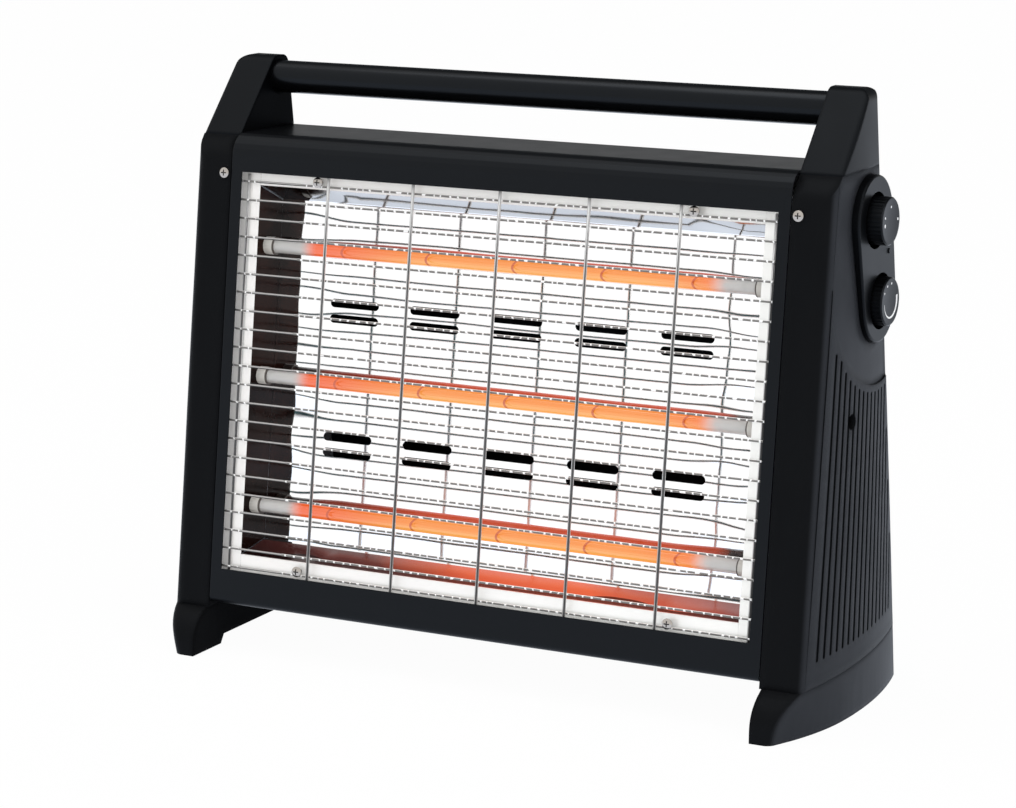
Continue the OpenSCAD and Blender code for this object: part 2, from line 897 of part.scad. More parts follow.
module foot() {
    heights = concat([for (i = [0 : foot_levels]) foot_seam_z * i / foot_levels], [foot_top]);
    floor_t = 3;
    difference() {
        intersection() {
            loft([for (z = heights) foot_section(z)]);
            across(foot_in - 5, body_half + 5)
                polygon([[-50, -5], [far, -5], seam_foot + seam_dir * far, seam_foot - seam_dir * 50]);
        }
        // recess between the two pads, open towards the middle
        intersection() {
            across(foot_in - 5, body_half + 5)
                polygon([
                    [pad_l - foot_flare, -1],
                    [pad_l - foot_flare, 0],
                    [pad_l - foot_flare + 4, arch_h],
                    [body_depth - pad_l - 4, arch_h],
                    [body_depth - pad_l, 0],
                    [body_depth - pad_l, -1]
                ]);
            bow(foot_wall);
        }
        // hollow, open upwards, with two screw columns
        difference() {
            translate([foot_in + wall, 14, arch_h + floor_t])
                cube([18, body_depth - 34, foot_seam_z + 20]);
            for (y = foot_screw_y)
                translate([foot_screw_x, y, 0])
                    cylinder(h = foot_top, d = boss_d + 2);
        }
        for (y = foot_screw_y)
            translate([foot_screw_x, y, 0]) {
                cylinder(h = arch_h + 4, d = pan_d + 1.5);
                cylinder(h = foot_top + 10, d = shank_d + hole_play);
            }
    }
}

module foot_right() {
    color(black_plastic)
        foot();
}

module foot_left() {
    color(black_plastic)
        left_side()
            foot();
}

// ---- handle

top_edge_r = 9;
slope_edge_r = 3;
// The rounded edges lie this far outside the bowed side, so they meet it without a step
edge_out = 0.3;

// Rounds the bracket's top outer edge
module top_edge(d) {
    y0 = bracket_corners[3][0];
    y1 = bracket_corners[2][0];
    x0 = bow_x(y0, total_h - top_edge_r) - top_edge_r + edge_out;
    x1 = bow_x(y1, total_h - top_edge_r) - top_edge_r + edge_out;
    translate([x0, y0, total_h - top_edge_r])
        rotate([0, 0, atan((x0 - x1) / (y1 - y0))])
            rotate([-90, 0, 0])
                translate([0, 0, -60])
                    linear_extrude(160)
                        difference() {
                            translate([0, -30])
                                square(30);
                            circle(r = top_edge_r - d);
                        }
}

// Rounds the edge between the bracket's slanted face and its side
module slope_edge(d) {
    low = bracket_corners[0];
    high = bracket_corners[3];
    mid = (low + high) / 2;
    bulge = bow_x(mid[0], mid[1]) - (bow_x(low[0], low[1]) + bow_x(high[0], high[1])) / 2;
    x0 = bow_x(low[0], low[1]) - slope_edge_r + bulge + edge_out;
    x1 = bow_x(high[0], high[1]) - slope_edge_r + bulge + edge_out;
    translate([x0, low[0], low[1]])
        rotate([bracket_slope - 90, 0, 0])
            rotate([0, atan((x1 - x0) / norm(high - low)), 0])
                translate([0, 0, -20])
                    linear_extrude(far)
                        difference() {
                            translate([0, -20])
                                square([20, 20 + slope_edge_r]);
                            translate([0, slope_edge_r])
                                circle(r = slope_edge_r - d);
                        }
}

module bracket_solid(d, x0) {
    difference() {
        intersection() {
            across(x0, body_half)
                polygon(bracket_outline(d));
            bow(d);
        }
        top_edge(d);
        if (d < slope_edge_r)
            slope_edge(d);
        rear_corner(d);
    }
}

module handle_bracket() {
    socket_d = bar_d + 6;
    opening_l = rear_y(bracket_seam_z) - bracket_front_y - 16.5;
    difference() {
        union() {
            difference() {
                bracket_solid(0, bracket_in);
                bracket_solid(bracket_wall, bracket_in + bracket_wall);
                // open from below
                translate([bracket_in + bracket_wall, bracket_front_y + 8, bracket_seam_z - 1])
                    cube([body_half - bracket_in - 3 * bracket_wall - 9, opening_l, bracket_wall + 2]);
            }
            intersection() {
                bracket_solid(1, bracket_in);
                union() {
                    translate([0, bar_y, bar_z])
                        rod(bracket_in, bracket_in + bar_seat + 3, socket_d);
                    for (y = bracket_screw_y)
                        translate([bracket_screw_x, y, bracket_seam_z])
                            cylinder(h = total_h - bracket_seam_z, d = boss_d);
                }
            }
            // boss feet reach the seam
            intersection() {
                bracket_solid(0, bracket_in);
                for (y = bracket_screw_y)
                    translate([bracket_screw_x, y, bracket_seam_z - 1])
                        cylinder(h = bracket_wall + 2, d = boss_d);
            }
        }
        translate([0, bar_y, bar_z])
            rod(bracket_in - 1, bracket_in + bar_seat, bar_d + 0.2);
        for (y = bracket_screw_y)
            translate([bracket_screw_x, y, bracket_seam_z - 1])
                cylinder(h = 15, d = shank_d + sit);
    }
}

module handle_bracket_right() {
    color(black_plastic)
        handle_bracket();
}

module handle_bracket_left() {
    color(black_plastic)
        left_side()
            handle_bracket();
}

module handle_bar() {
    end = bracket_in + bar_seat - 0.2;
    color(black_plastic)
        translate([0, bar_y, bar_z])
            difference() {
                rod(-end, end, bar_d);
                rod(-end - 1, end + 1, bar_d - 2 * bar_wall);
            }
}

// ---- reflector and guard

back_v_low = window_low + 18.4;
back_v_high = window_high - 17.1;
lip_v_low = window_low + 10.1;
lip_v_high = window_high - 7.7;
rest_v_low = window_low - 6.1;
rest_v_high = window_high + 6.9;
pair_heights = [tube_low + tube_pitch / 2 + 0.4, tube_low + 1.5 * tube_pitch + 2.9];

module reflector_back() {
    half = trough_half - sit;
    mid = mirror_t / 2;
    seat = sheet_t + mid + 0.05;
    color(polished)
        difference() {
            on_front()
                across(-half, half)
                    polygon(bent_sheet([
                        [seat, rest_v_high + 3.5],
                        [seat, rest_v_high],
                        [flange_w + mid, rest_v_high],
                        [flange_w + mid, lip_v_high],
                        [mirror_w + mid, back_v_high],
                        [mirror_w + mid, back_v_low],
                        [flange_w + mid, lip_v_low],
                        [flange_w + mid, rest_v_low],
                        [seat, rest_v_low],
                        [seat, rest_v_low - 3.5]
                    ], mirror_t));
            on_front()
                translate([0, mirror_w + 5, 0])
                    rotate([90, 0, 0])
                        linear_extrude(10)
                            for (v = pair_heights)
                                for (side = [-1, 1])
                                    for (i = [-2 : 2])
                                        translate([i * slot_pitch, v + side * pair_pitch / 2])
                                            slot(slot_l, slot_h);
            on_front()
                for (side = [-1, 1])
                    for (v = [guard_screw_low, guard_screw_high])
                        translate([side * guard_screw_x, 0, v])
                            rod_y(flange_w - 1, flange_w + 2, thin_d + sit);
        }
}

module reflector_end() {
    lip = mirror_t / 2;
    color(polished)
        difference() {
            on_front()
                union() {
                    // side wall between the folded back and the front
                    across(trough_half, trough_half + mirror_t)
                        polygon([
                            [flange_w, lip_v_low + 1],
                            [mirror_w, back_v_low + 1],
                            [mirror_w, back_v_high - 1],
                            [flange_w, lip_v_high - 1]
                        ]);
                    // flange beside the window, out to the end plate
                    translate([trough_half, flange_w, rest_v_low])
                        cube([plate_in - trough_half, mirror_t, rest_v_high - rest_v_low]);
                }
            on_front()
                for (v = tube_heights)
                    translate([0, tube_w, v])
                        rod(trough_half - 5, trough_half + 5, cap_d + 0.2);
        }
}

module reflector_end_right() {
    reflector_end();
}

module reflector_end_left() {
    left_side()
        reflector_end();
}

cross_pitch = (cross_high - cross_low) / (cross_count - 1);
upright_w = sheet_t + 0.3 + upright_d / 2;
cross_w = upright_w + upright_d / 2 + cross_d / 2 - 0.3;
edge_wire_x = window_half - 3;
edge_wire_w = cross_w + cross_d / 2 + upright_d / 2 - 0.3;
cross_half = window_half + 2;
wire_sides = 8;

module wire_guard() {
    color(zinc)
        on_front() {
            for (i = [0 : upright_count - 1])
                translate([(i - (upright_count - 1) / 2) * upright_pitch, upright_w, rest_v_low + 2])
                    cylinder(h = rest_v_high - rest_v_low - 4, d = upright_d, $fn = wire_sides);
            for (side = [-1, 1])
                translate([side * edge_wire_x, edge_wire_w, cross_low - 5])
                    cylinder(h = cross_high - cross_low + 10, d = upright_d, $fn = wire_sides);
            for (i = [0 : cross_count - 1])
                translate([0, cross_w, cross_low + i * cross_pitch])
                    rotate([0, 90, 0])
                        cylinder(h = 2 * cross_half, d = cross_d, center = true, $fn = wire_sides);
        }
}

// ---- heating tubes

// Puts children on the axis of tube i, counted from the lowest
module on_tube(i) {
    on_front()
        translate([0, tube_w, tube_heights[i]])
            children();
}

module quartz_tube(i) {
    color(quartz)
        on_tube(i)
            difference() {
                rod(-tube_half, tube_half, tube_d);
                rod(-tube_half - 1, tube_half + 1, tube_d - 2 * tube_wall);
            }
}

// The wound part, its two straight tails and the wire ends that the caps hold
module heating_element(i) {
    tail_d = 2.4;
    color(glow)
        on_tube(i) {
            rod(-glow_half, glow_half, element_d);
            rod(-tube_half - 1, tube_half + 1, tail_d);
        }
}

module quartz_tube_top() { quartz_tube(2); }
module quartz_tube_middle() { quartz_tube(1); }
module quartz_tube_bottom() { quartz_tube(0); }
module heating_element_top() { heating_element(2); }
module heating_element_middle() { heating_element(1); }
module heating_element_bottom() { heating_element(0); }

pin_d = 3;

// A ceramic cap with its terminal pin
module tube_cap() {
    difference() {
        union() {
            rod(cap_in, cap_out, cap_d);
            rod(cap_out - 1, pin_out, pin_d);
        }
        rod(cap_in - 1, tube_half + 0.2, tube_d + 0.2);
        rod(cap_in, tube_half + 1.2, pin_d);
    }
}

module tube_caps() {
    color(ceramic)
        for (i = [0 : 2])
            on_tube(i) {
                tube_cap();
                left_side()
                    tube_cap();
            }
}

// Sheet bridge on the end plate, with a round seat for the cap
module tube_holder() {
    deep = 24;
    tall = 16;
    face = tube_half - 2;
    difference() {
        translate([face, -deep / 2, -tall / 2])
            cube([plate_in - face, deep, tall]);
        translate([face + 1, -deep / 2 + 1, -tall / 2 - 1])
            cube([plate_in - face, deep - 2, tall + 2]);
        rod(face - 1, face + 3, cap_d + 0.2);
    }
}

module tube_holders() {
    color(zinc)
        for (i = [0 : 2])
            on_tube(i) {
                tube_holder();
                left_side()
                    tube_holder();
            }
}

// ---- controls

nub_at = (selector_at + thermostat_at) / 2 + [17.3, 3.7];

module control_pod() {
    edge = 1.2;
    color(black_plastic)
        difference() {
            union() {
                across(pod_floor, pod_face - edge)
                    egg(0);
                hull()
                    for (step = [[edge, 0], [edge / 3, 0.35], [0, edge]])
                        across(pod_face - step[0] - 0.01, pod_face - step[0])
                            egg(-step[1]);
                // orientation nub between the knobs
                translate([0, nub_at[0], nub_at[1]])
                    rod(pod_face - edge, pod_face + 0.8, 3.4);
            }
            at_controls()
                rod(well_floor, pod_face + 5, well_d);
            control_holes(pod_floor - 1, well_floor + 1);
        }
}

// Body of a control, with its bush, blade terminals and screw holes
module control_body(side) {
    color([0.80, 0.79, 0.74])
        difference() {
            union() {
                translate([switch_front - switch_depth, -side / 2, -side / 2])
                    cube([switch_depth, side, side]);
                rod(switch_front - 1, well_floor + 1, bush_d);
                for (z = blade_z)
                    translate([switch_front - switch_depth / 2, -side / 2 - blade_l, z - 2.4])
                        cube([0.8, blade_l + 1, 4.8]);
            }
            rod(switch_front - 12, well_floor + 2, spindle_d + 2 * spindle_gap);
            for (turn = [-1, 1])
                translate([0, turn * control_screw_pitch / 2, 0])
                    rod(switch_front - 9, switch_front + 1, thin_d);
        }
}

// Section of a spindle with one flat, grown by d all round
module flatted(d) {
    difference() {
        circle(d = spindle_d + 2 * d);
        translate([-spindle_d, spindle_d / 2 - flat_cut + d])
            square([2 * spindle_d, spindle_d]);
    }
}

module spindle(face) {
    color(zinc)
        union() {
            rod(switch_front - 11.8, knob_back - 0.3, spindle_d);
            across(knob_back - 0.8, face - knob_web - 1)
                flatted(0);
        }
}

// Knob with a dished face, a bevelled rim and a hub round the flatted spindle
module knob(d, face) {
    dish = 0.6;
    rim = 0.8;
    hub_r = 5;
    dish_r = d / 2 - 2;
    color(black_plastic)
        difference() {
            rotate([0, 90, 0])
                rotate_extrude($fn = 96)
                    polygon(concat(
                        [
                            [0, knob_back], [hub_r, knob_back],
                            [hub_r, face - knob_web], [d / 2 - knob_wall, face - knob_web],
                            [d / 2 - knob_wall, knob_back], [d / 2 - 0.5, knob_back],
                            [d / 2, knob_back + 0.5], [d / 2 - 0.2, face - rim], [d / 2 - 0.2 - rim, face]
                        ],
                        [for (i = [6 : -1 : 0]) [dish_r * i / 6, face - dish * (1 - i * i / 36)]]
                    ));
            across(knob_back - 1, face - knob_web - 0.9)
                flatted(0.05);
        }
}

module at_selector() {
    translate([0, selector_y, selector_z])
        children();
}

module at_thermostat() {
    translate([0, thermostat_y, thermostat_z])
        children();
}

module selector_switch() { at_selector() control_body(switch_side); }
module selector_spindle() { at_selector() spindle(selector_face); }
module selector_knob() { at_selector() knob(selector_d, selector_face); }
module thermostat() { at_thermostat() control_body(switch_side - 2); }
module thermostat_spindle() { at_thermostat() spindle(thermostat_face); }
module thermostat_knob() { at_thermostat() knob(thermostat_d, thermostat_face); }

// ---- parts behind the right end plate

tilt_box = [16, 30, 22];
tilt_at = [84, 52];
block_box = [12, 40, 18];
block_at = [78, 92];
cutout_at = [thermostat_y - 5, thermostat_z - 43];
wire_run = [90, 150];

module blade(x, y, z) {
    translate([x - sit, y - 2.4, z - 0.4])
        cube([6, 4.8, 0.8]);
}

// Top of the tilt switch's blade on side -1 or 1
function tilt_blade(side) = [
    plate_out + 6.4,
    tilt_at[0] + tilt_box[1] / 2 + side * 8,
    tilt_at[1] + tilt_box[2] + 7
];

module tilt_switch() {
    color([0.20, 0.20, 0.22])
        union() {
            translate([plate_out, tilt_at[0], tilt_at[1]])
                cube(tilt_box);
            for (side = [-1, 1])
                translate(tilt_blade(side) - [0.4, 2.4, 7 + sit])
                    cube([0.8, 4.8, 7]);
        }
}

module thermal_cutout() {
    color([0.25, 0.22, 0.20])
        translate([0, cutout_at[0], cutout_at[1]])
            union() {
                rod(plate_out, plate_out + 7, 16);
                translate([plate_out, -12, -3])
                    cube([1, 24, 6]);
                for (side = [-1, 1])
                    blade(plate_out + 7, side * 4.5, 0);
            }
}

module terminal_block() {
    color([0.90, 0.89, 0.86])
        translate([plate_out, block_at[0], block_at[1]])
            difference() {
                cube(block_box);
                for (i = [0 : 2])
                    for (z = [-4, block_box[2] - 6])
                        translate([6, block_box[1] / 2 + (i - 1) * 12, z])
                            cylinder(h = 10, d = 5);
            }
}

// Cord inlet: a flanged bush held in the housing's back wall by a nut
module cable_gland() {
    color(black_plastic)
        on_back()
            translate([gland_x, 0, gland_v])
                difference() {
                    union() {
                        rod_y(0, 2, gland_d + 5);
                        rod_y(-wall - 6, 1, gland_d);
                        rod_y(-wall - 4, -wall, gland_d + 3);
                    }
                    rod_y(-20, 20, 7.5);
                }
}

wire_d = 2.6;

// Direction of travel at point i of a path
function travel(p, i) =
    let (a = p[max(i, 1)] - p[max(i, 1) - 1], b = p[min(i, len(p) - 2) + 1] - p[min(i, len(p) - 2)])
    unit(unit(a) + unit(b));

// One cross direction for each point of a path, carried along without twisting
function carried(p) = [
    for (
        i = 0, s = unit(cross(travel(p, 0), [1, 2, 3]));
        i < len(p);
        i = i + 1, t = travel(p, min(i, len(p) - 1)), s = unit(s - (s * t) * t)
    ) s
];

// Wire of n sides that runs through the points p
module wire(p, d = wire_d, n = 6) {
    sides = carried(p);
    m = len(p);
    polyhedron(
        points = [
            for (i = [0 : m - 1])
                let (across = cross(travel(p, i), sides[i]))
                for (k = [0 : n - 1])
                    p[i] + (sides[i] * cos(360 * k / n) + across * sin(360 * k / n)) * d / 2
        ],
        faces = concat(
            [[for (k = [0 : n - 1]) k]],
            [[for (k = [n - 1 : -1 : 0]) (m - 1) * n + k]],
            [
                for (j = [0 : m - 2])
                    for (k = [0 : n - 1])
                        let (a = j * n, b = a + n, q = (k + 1) % n)
                        each [[a + k, b + k, a + q], [a + q, b + k, b + q]]
            ]
        )
    );
}

// Points of a soft bend from a to b that leaves along u and arrives along v, with straight ends
function lead(a, u, b, v, n = 8, straight = 2.5) =
    let (c = a + unit(u) * straight, d = b - unit(v) * straight)
    concat(
        [a],
        [
            for (i = [0 : n])
                let (t = i / n, s = 1 - t)
                s * s * s * c + 3 * s * s * t * (c + u) + 3 * s * t * t * (d - v) + t * t * t * d
        ],
        [b]
    );

// End of the terminal pin of tube i
function pin_end(i) = [
    pin_out,
    tube_w * cos(front_lean) + tube_heights[i] * sin(front_lean),
    tube_heights[i] * cos(front_lean) - tube_w * sin(front_lean)
];
function flip(p) = [-p[0], p[1], p[2]];

// Front end of blade k of a control whose axis is at p and whose body is side across
function blade_end(p, side, k) = [
    switch_front - switch_depth / 2 + 0.4,
    p[0] - side / 2 - blade_l - 0.3,
    p[1] + blade_z[k]
];

// Foot of entry k in the terminal block's top or bottom
function entry(k, top) = [
    plate_out + 6,
    block_at[0] + block_box[1] / 2 + (k - 1) * 12,
    block_at[1] + (top ? block_box[2] - 5.7 : 5.7)
];

crimp_l = 10;
crimp_d = 8;

module wiring() {
    gap = [0.8, 0, 0];
    run_x = plate_out + 6;
    joint = [-run_x - crimp_l, wire_run[0], wire_run[1]];
    color([0.85, 0.85, 0.80]) {
        // common lead from the left tube ends, across behind the reflector to the terminal block
        wire(concat(
            [[-run_x + 0.2, wire_run[0], wire_run[1]], [0, wire_run[0], wire_run[1]]],
            lead([plate_out + 2, wire_run[0], wire_run[1]], [10, 0, 0], entry(0, true), [0, 0, -18])
        ));
        translate([0, wire_run[0], wire_run[1]])
            rod(joint[0], -run_x, crimp_d);
        for (i = [0 : 2])
            wire(lead(
                flip(pin_end(i) + gap), [-7, 0, 0],
                joint + [-0.3, 1.9 * cos(270 - 120 * i), 1.9 * sin(270 - 120 * i)], [7, 0, 0]
            ));
        // leads from the right tube ends to the selector switch
        for (i = [0 : 2])
            wire(lead(
                pin_end(i) + gap, [12, i == 0 ? 10 : 0, 0],
                blade_end(selector_at, switch_side, i), [0, 14, 0]
            ));
        // terminal block to the tilt switch and the thermostat
        wire(lead(entry(1, true), [0, 0, 20], blade_end(thermostat_at, switch_side - 2, 0), [0, 12, 0]));
        wire(lead(entry(2, false), [0, 0, -4], tilt_blade(1) + [0, 0, 0.3], [0, 0, -4]));
    }
}

// ---- screws

module side_screw() {
    translate([panel_in + 2.5, recess_at[0], recess_at[1]])
        rotate([0, 90, 0])
            pan_screw(shank_d - 0.6, panel_in + 2.5 - plate_in + 4);
}

module front_screw() {
    on_front()
        translate([front_screw_x, 0, front_screw_v])
            rotate([90, 0, 0])
                pan_screw(thin_d, wall + 8);
}

module front_screws() {
    color(zinc) {
        front_screw();
        left_side()
            front_screw();
    }
}

module guard_screws() {
    color(zinc)
        on_front()
            for (side = [-1, 1])
                for (v = [guard_screw_low, guard_screw_high])
                    translate([side * guard_screw_x, cross_w - cross_d / 2, v])
                        rotate([90, 0, 0])
                            pan_screw(thin_d, 7);
}

module side_screws() {
    color(zinc) {
        side_screw();
        left_side()
            side_screw();
    }
}

module rear_screws() {
    color(zinc)
        on_back()
            for (side = [-1, 1])
                for (z = rear_screw_z)
                    translate([side * rear_screw_x, 0, z])
                        rotate([-90, 0, 0])
                            pan_screw(shank_d, rear_screw_l);
}

module foot_screw(y) {
    translate([foot_screw_x, y, arch_h + 4])
        rotate([180, 0, 0])
            pan_screw(shank_d, foot_screw_l);
}

module foot_screws() {
    color(zinc)
        for (y = foot_screw_y) {
            foot_screw(y);
            left_side()
                foot_screw(y);
        }
}

module bracket_screw(y) {
    translate([bracket_screw_x, y, bracket_seam_z - wall])
        rotate([180, 0, 0])
            pan_screw(shank_d, bracket_screw_l);
}

module bracket_screws() {
    color(zinc)
        for (y = bracket_screw_y) {
            bracket_screw(y);
            left_side()
                bracket_screw(y);
        }
}

module control_screws() {
    color(zinc)
        at_controls()
            for (side = [-1, 1])
                translate([well_floor, side * control_screw_pitch / 2, 0])
                    rotate([0, 90, 0])
                        scale(0.8)
                            pan_screw(thin_d / 0.8, control_screw_l);
}

translate(origin_shift) {
    front_casing();
    rear_cover();
    bottom_plate();
    end_plate();  // end_plate_right
    left_side() end_plate();  // end_plate_left
    side_panel_right();
    side_panel_left();
    foot_right();
    foot_left();
    handle_bracket_right();
    handle_bracket_left();
    handle_bar();
    reflector_back();
    reflector_end_right();
    reflector_end_left();
    wire_guard();
    quartz_tube_top();
    quartz_tube_middle();
    quartz_tube_bottom();
    heating_element_top();
    heating_element_middle();
    heating_element_bottom();
    tube_caps();
    tube_holders();
    control_pod();
    selector_switch();
    selector_spindle();
    selector_knob();
    thermostat();
    thermostat_spindle();
    thermostat_knob();
    tilt_switch();
    thermal_cutout();
    terminal_block();
    cable_gland();
    wiring();
    front_screws();
    guard_screws();
    side_screws();
    rear_screws();
    foot_screws();
    bracket_screws();
    control_screws();
}
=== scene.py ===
import math

import bpy
from mathutils import Matrix, Vector


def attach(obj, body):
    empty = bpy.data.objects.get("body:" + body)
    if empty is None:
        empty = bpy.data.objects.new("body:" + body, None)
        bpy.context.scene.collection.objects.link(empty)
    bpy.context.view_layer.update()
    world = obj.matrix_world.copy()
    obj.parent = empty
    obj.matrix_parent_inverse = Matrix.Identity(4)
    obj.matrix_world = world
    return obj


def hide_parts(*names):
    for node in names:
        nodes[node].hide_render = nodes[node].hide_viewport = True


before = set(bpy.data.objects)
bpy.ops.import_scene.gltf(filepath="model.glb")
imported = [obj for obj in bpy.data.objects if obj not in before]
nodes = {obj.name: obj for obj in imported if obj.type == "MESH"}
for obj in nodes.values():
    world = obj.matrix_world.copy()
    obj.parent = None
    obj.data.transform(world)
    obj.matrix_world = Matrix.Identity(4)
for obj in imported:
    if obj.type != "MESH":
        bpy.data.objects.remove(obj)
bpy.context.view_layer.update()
print("heater: frame loaded,", len(nodes), "nodes")

# The source draws with the front plane meeting the floor at y = 0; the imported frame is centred
shift = Vector((-0.0035, -0.077, 0.0))
lean = math.radians(8.03)
black = (0, 0, 0)
white = (1, 1, 1)


def onFront(x, w, v):
    # x across, w behind the leaning front plane, v up along it
    y = w * math.cos(lean) + v * math.sin(lean)
    z = v * math.cos(lean) - w * math.sin(lean)
    return Vector((x, y, z)) + shift


class Value:
    # a shader socket that can be used in a Python expression
    def __init__(self, owner, socket):
        self.owner = owner
        self.socket = socket

    def __add__(self, other):
        return self.owner.maths("ADD", self, other)

    def __radd__(self, other):
        return self.owner.maths("ADD", other, self)

    def __sub__(self, other):
        return self.owner.maths("SUBTRACT", self, other)

    def __rsub__(self, other):
        return self.owner.maths("SUBTRACT", other, self)

    def __mul__(self, other):
        return self.owner.maths("MULTIPLY", self, other)

    def __rmul__(self, other):
        return self.owner.maths("MULTIPLY", other, self)

    def __truediv__(self, other):
        return self.owner.maths("DIVIDE", self, other)

    def __rtruediv__(self, other):
        return self.owner.maths("DIVIDE", other, self)

    def __gt__(self, other):
        return self.owner.maths("GREATER_THAN", self, other)

    def __lt__(self, other):
        return self.owner.maths("LESS_THAN", self, other)

    def __abs__(self):
        return self.owner.maths("ABSOLUTE", self)


class Nodes:
    # makes the nodes of one tree
    def __init__(self, tree):
        self.tree = tree
        self.tree.nodes.clear()

    def node(self, kind, settings=None, inputs=None, out=0):
        # settings come first; an input is linked when it is a Value and set when it isn't
        made = self.tree.nodes.new(kind)
        for key, value in (settings or {}).items():
            setattr(made, key, value)
        for key, value in (inputs or {}).items():
            if isinstance(value, Value):
                self.tree.links.new(value.socket, made.inputs[key])
            else:
                made.inputs[key].default_value = value
        return Value(self, made.outputs[out]) if made.outputs else made

    def maths(self, operation, *values):
        return self.node("ShaderNodeMath", {"operation": operation}, dict(enumerate(values)))

    def place(self):
        # the object's own coordinates, in metres
        return self.node("ShaderNodeTexCoord", out="Object")

    def parts(self, vector):
        split = self.node("ShaderNodeSeparateXYZ", inputs={0: vector})
        return [Value(self, split.socket.node.outputs[i]) for i in range(3)]

    def frontPlace(self):
        # x across, w behind the leaning front plane, v up along it, as in onFront
        x, y, z = self.parts(self.place())
        y = y - shift.y
        w = y * math.cos(lean) - z * math.sin(lean)
        v = y * math.sin(lean) + z * math.cos(lean)
        return x - shift.x, w, v

    def facing(self):
        # the three parts of the surface's own normal
        return self.parts(self.node("ShaderNodeTexCoord", out="Normal"))

    def stretched(self, scale):
        return self.node("ShaderNodeMapping", inputs={"Vector": self.place(), "Scale": scale})

    def noise(self, scale, vector=None, detail=2.0, roughness=0.5):
        inputs = {"Vector": vector or self.place(), "Scale": scale, "Detail": detail, "Roughness": roughness}
        return self.node("ShaderNodeTexNoise", inputs=inputs)

    def blend(self, value, start, stop):
        # rises softly from 0 at start to 1 at stop
        inputs = {"Value": value, "From Min": start, "From Max": stop}
        return self.node("ShaderNodeMapRange", {"interpolation_type": "SMOOTHSTEP"}, inputs)

    def ramp(self, factor, stops):
        # stops are pairs of a position and a colour
        made = self.node("ShaderNodeValToRGB", inputs={0: factor})
        elements = made.socket.node.color_ramp.elements
        while len(elements) < len(stops):
            elements.new(0.5)
        for element, (position, colour) in zip(elements, stops):
            element.position = position
            element.color = (*colour, 1)
        return made

    def mix(self, factor, a, b):
        # of two colours
        a, b = (c if isinstance(c, Value) else (*c, 1) for c in (a, b))
        return self.node("ShaderNodeMix", {"data_type": "RGBA"}, {0: factor, 6: a, 7: b}, out=2)

    def bump(self, height, strength, distance, normal=None):
        inputs = {"Height": height, "Strength": strength, "Distance": distance}
        if normal:
            inputs["Normal"] = normal
        return self.node("ShaderNodeBump", inputs=inputs)

    def softEdges(self, radius):
        return self.node("ShaderNodeBevel", {"samples": 4}, {"Radius": radius})


class Finish(Nodes):
    # one material
    def __init__(self, name):
        self.material = bpy.data.materials.new(name)
        self.material.use_nodes = True
        super().__init__(self.material.node_tree)

    def show(self, shader):
        self.node("ShaderNodeOutputMaterial", inputs={"Surface": shader})
        return self.material

    def principled(self, **sockets):
        # sockets are named with _ for a space, colours have three parts
        inputs = {k.replace("_", " "): (*v, 1) if isinstance(v, tuple) else v for k, v in sockets.items()}
        return self.node("ShaderNodeBsdfPrincipled", inputs=inputs)

    def surface(self, **sockets):
        return self.show(self.principled(**sockets))


def times(colour, factor):
    return tuple(c * factor for c in colour)


def around(middle, spread, noise):
    # wanders by half the spread to each side of the middle
    return middle - spread / 2 + noise * spread


cold = (0.80, 0.89, 1.0)
mouldedBlack = {
    "colour": (0.0013, 0.0015, 0.0020), "outward": (0.0013, 0.0015, 0.0020), "roughness": 0.40, "ior": 1.20,
    "grain": 1500, "grainStrength": 0.16, "grainDepth": 0.00012, "edge": 0.0030,
    "patches": 28, "patchShade": 0.3, "patchRough": 0.1, "litFrom": 0.5, "litAt": 0.95, "inwardShadePast": 0.8, "inwardShade": 0.85,
}
# the sides' outward colour is painted light from the side
sideBlack = dict(
    mouldedBlack, colour=(0.0048, 0.0050, 0.0056), outward=(0.0265, 0.0285, 0.0335), ior=1.13, edge=0.0075)
footBlack = dict(sideBlack, edge=0.0060)
podBlack = dict(mouldedBlack, colour=(0.0012, 0.0013, 0.0016), roughness=0.34, ior=1.22, grain=2100, edge=0.0006)
knobBlack = dict(podBlack, roughness=0.30, ior=1.235, grain=2600, edge=0.0003, grainRough=0.06)


def plastic(name, look):
    # fine spark-eroded grain and slow patches of gloss; outward faces are painted paler as painted side light, and
    # those that look inward lose their gloss as painted shade
    f = Finish(name)
    grain = f.noise(look["grain"], detail=3)
    patches = f.noise(look["patches"], detail=2)
    x = f.frontPlace()[0]
    outward = f.facing()[0] * f.maths("SIGN", x)
    # painted light: outward faces take the paler outward colour
    colour = f.mix(f.blend(outward, look["litFrom"], look["litAt"]), look["colour"], look["outward"])
    colour = f.mix(patches * look["patchShade"], colour, black)
    shining = f.principled(
        Base_Color=colour, Roughness=around(look["roughness"], look["patchRough"], patches), IOR=look["ior"],
        Specular_Tint=cold,
        Normal=f.bump(grain, look["grainStrength"], look["grainDepth"], f.softEdges(look["edge"])))
    # painted shade: faces that look inward lose their reflections
    inwardShade = f.node("ShaderNodeBsdfDiffuse", inputs={"Color": colour})
    share = (outward < -look["inwardShadePast"]) * look["inwardShade"]
    return f.show(f.node("ShaderNodeMixShader", inputs={0: share, 1: shining, 2: inwardShade}))


knobs = {
    "selector": {"body": "selector", "y": 0.09947, "z": 0.3137, "face": 0.2480, "dish": 0.0135},
    "thermostat": {"body": "thermostat_dial", "y": 0.10899, "z": 0.261, "face": 0.2450, "dish": 0.01375},
}
gripRibs = {"depth": 0.0004, "strength": 0.4, "count": 32, "sideUnder": 0.6}


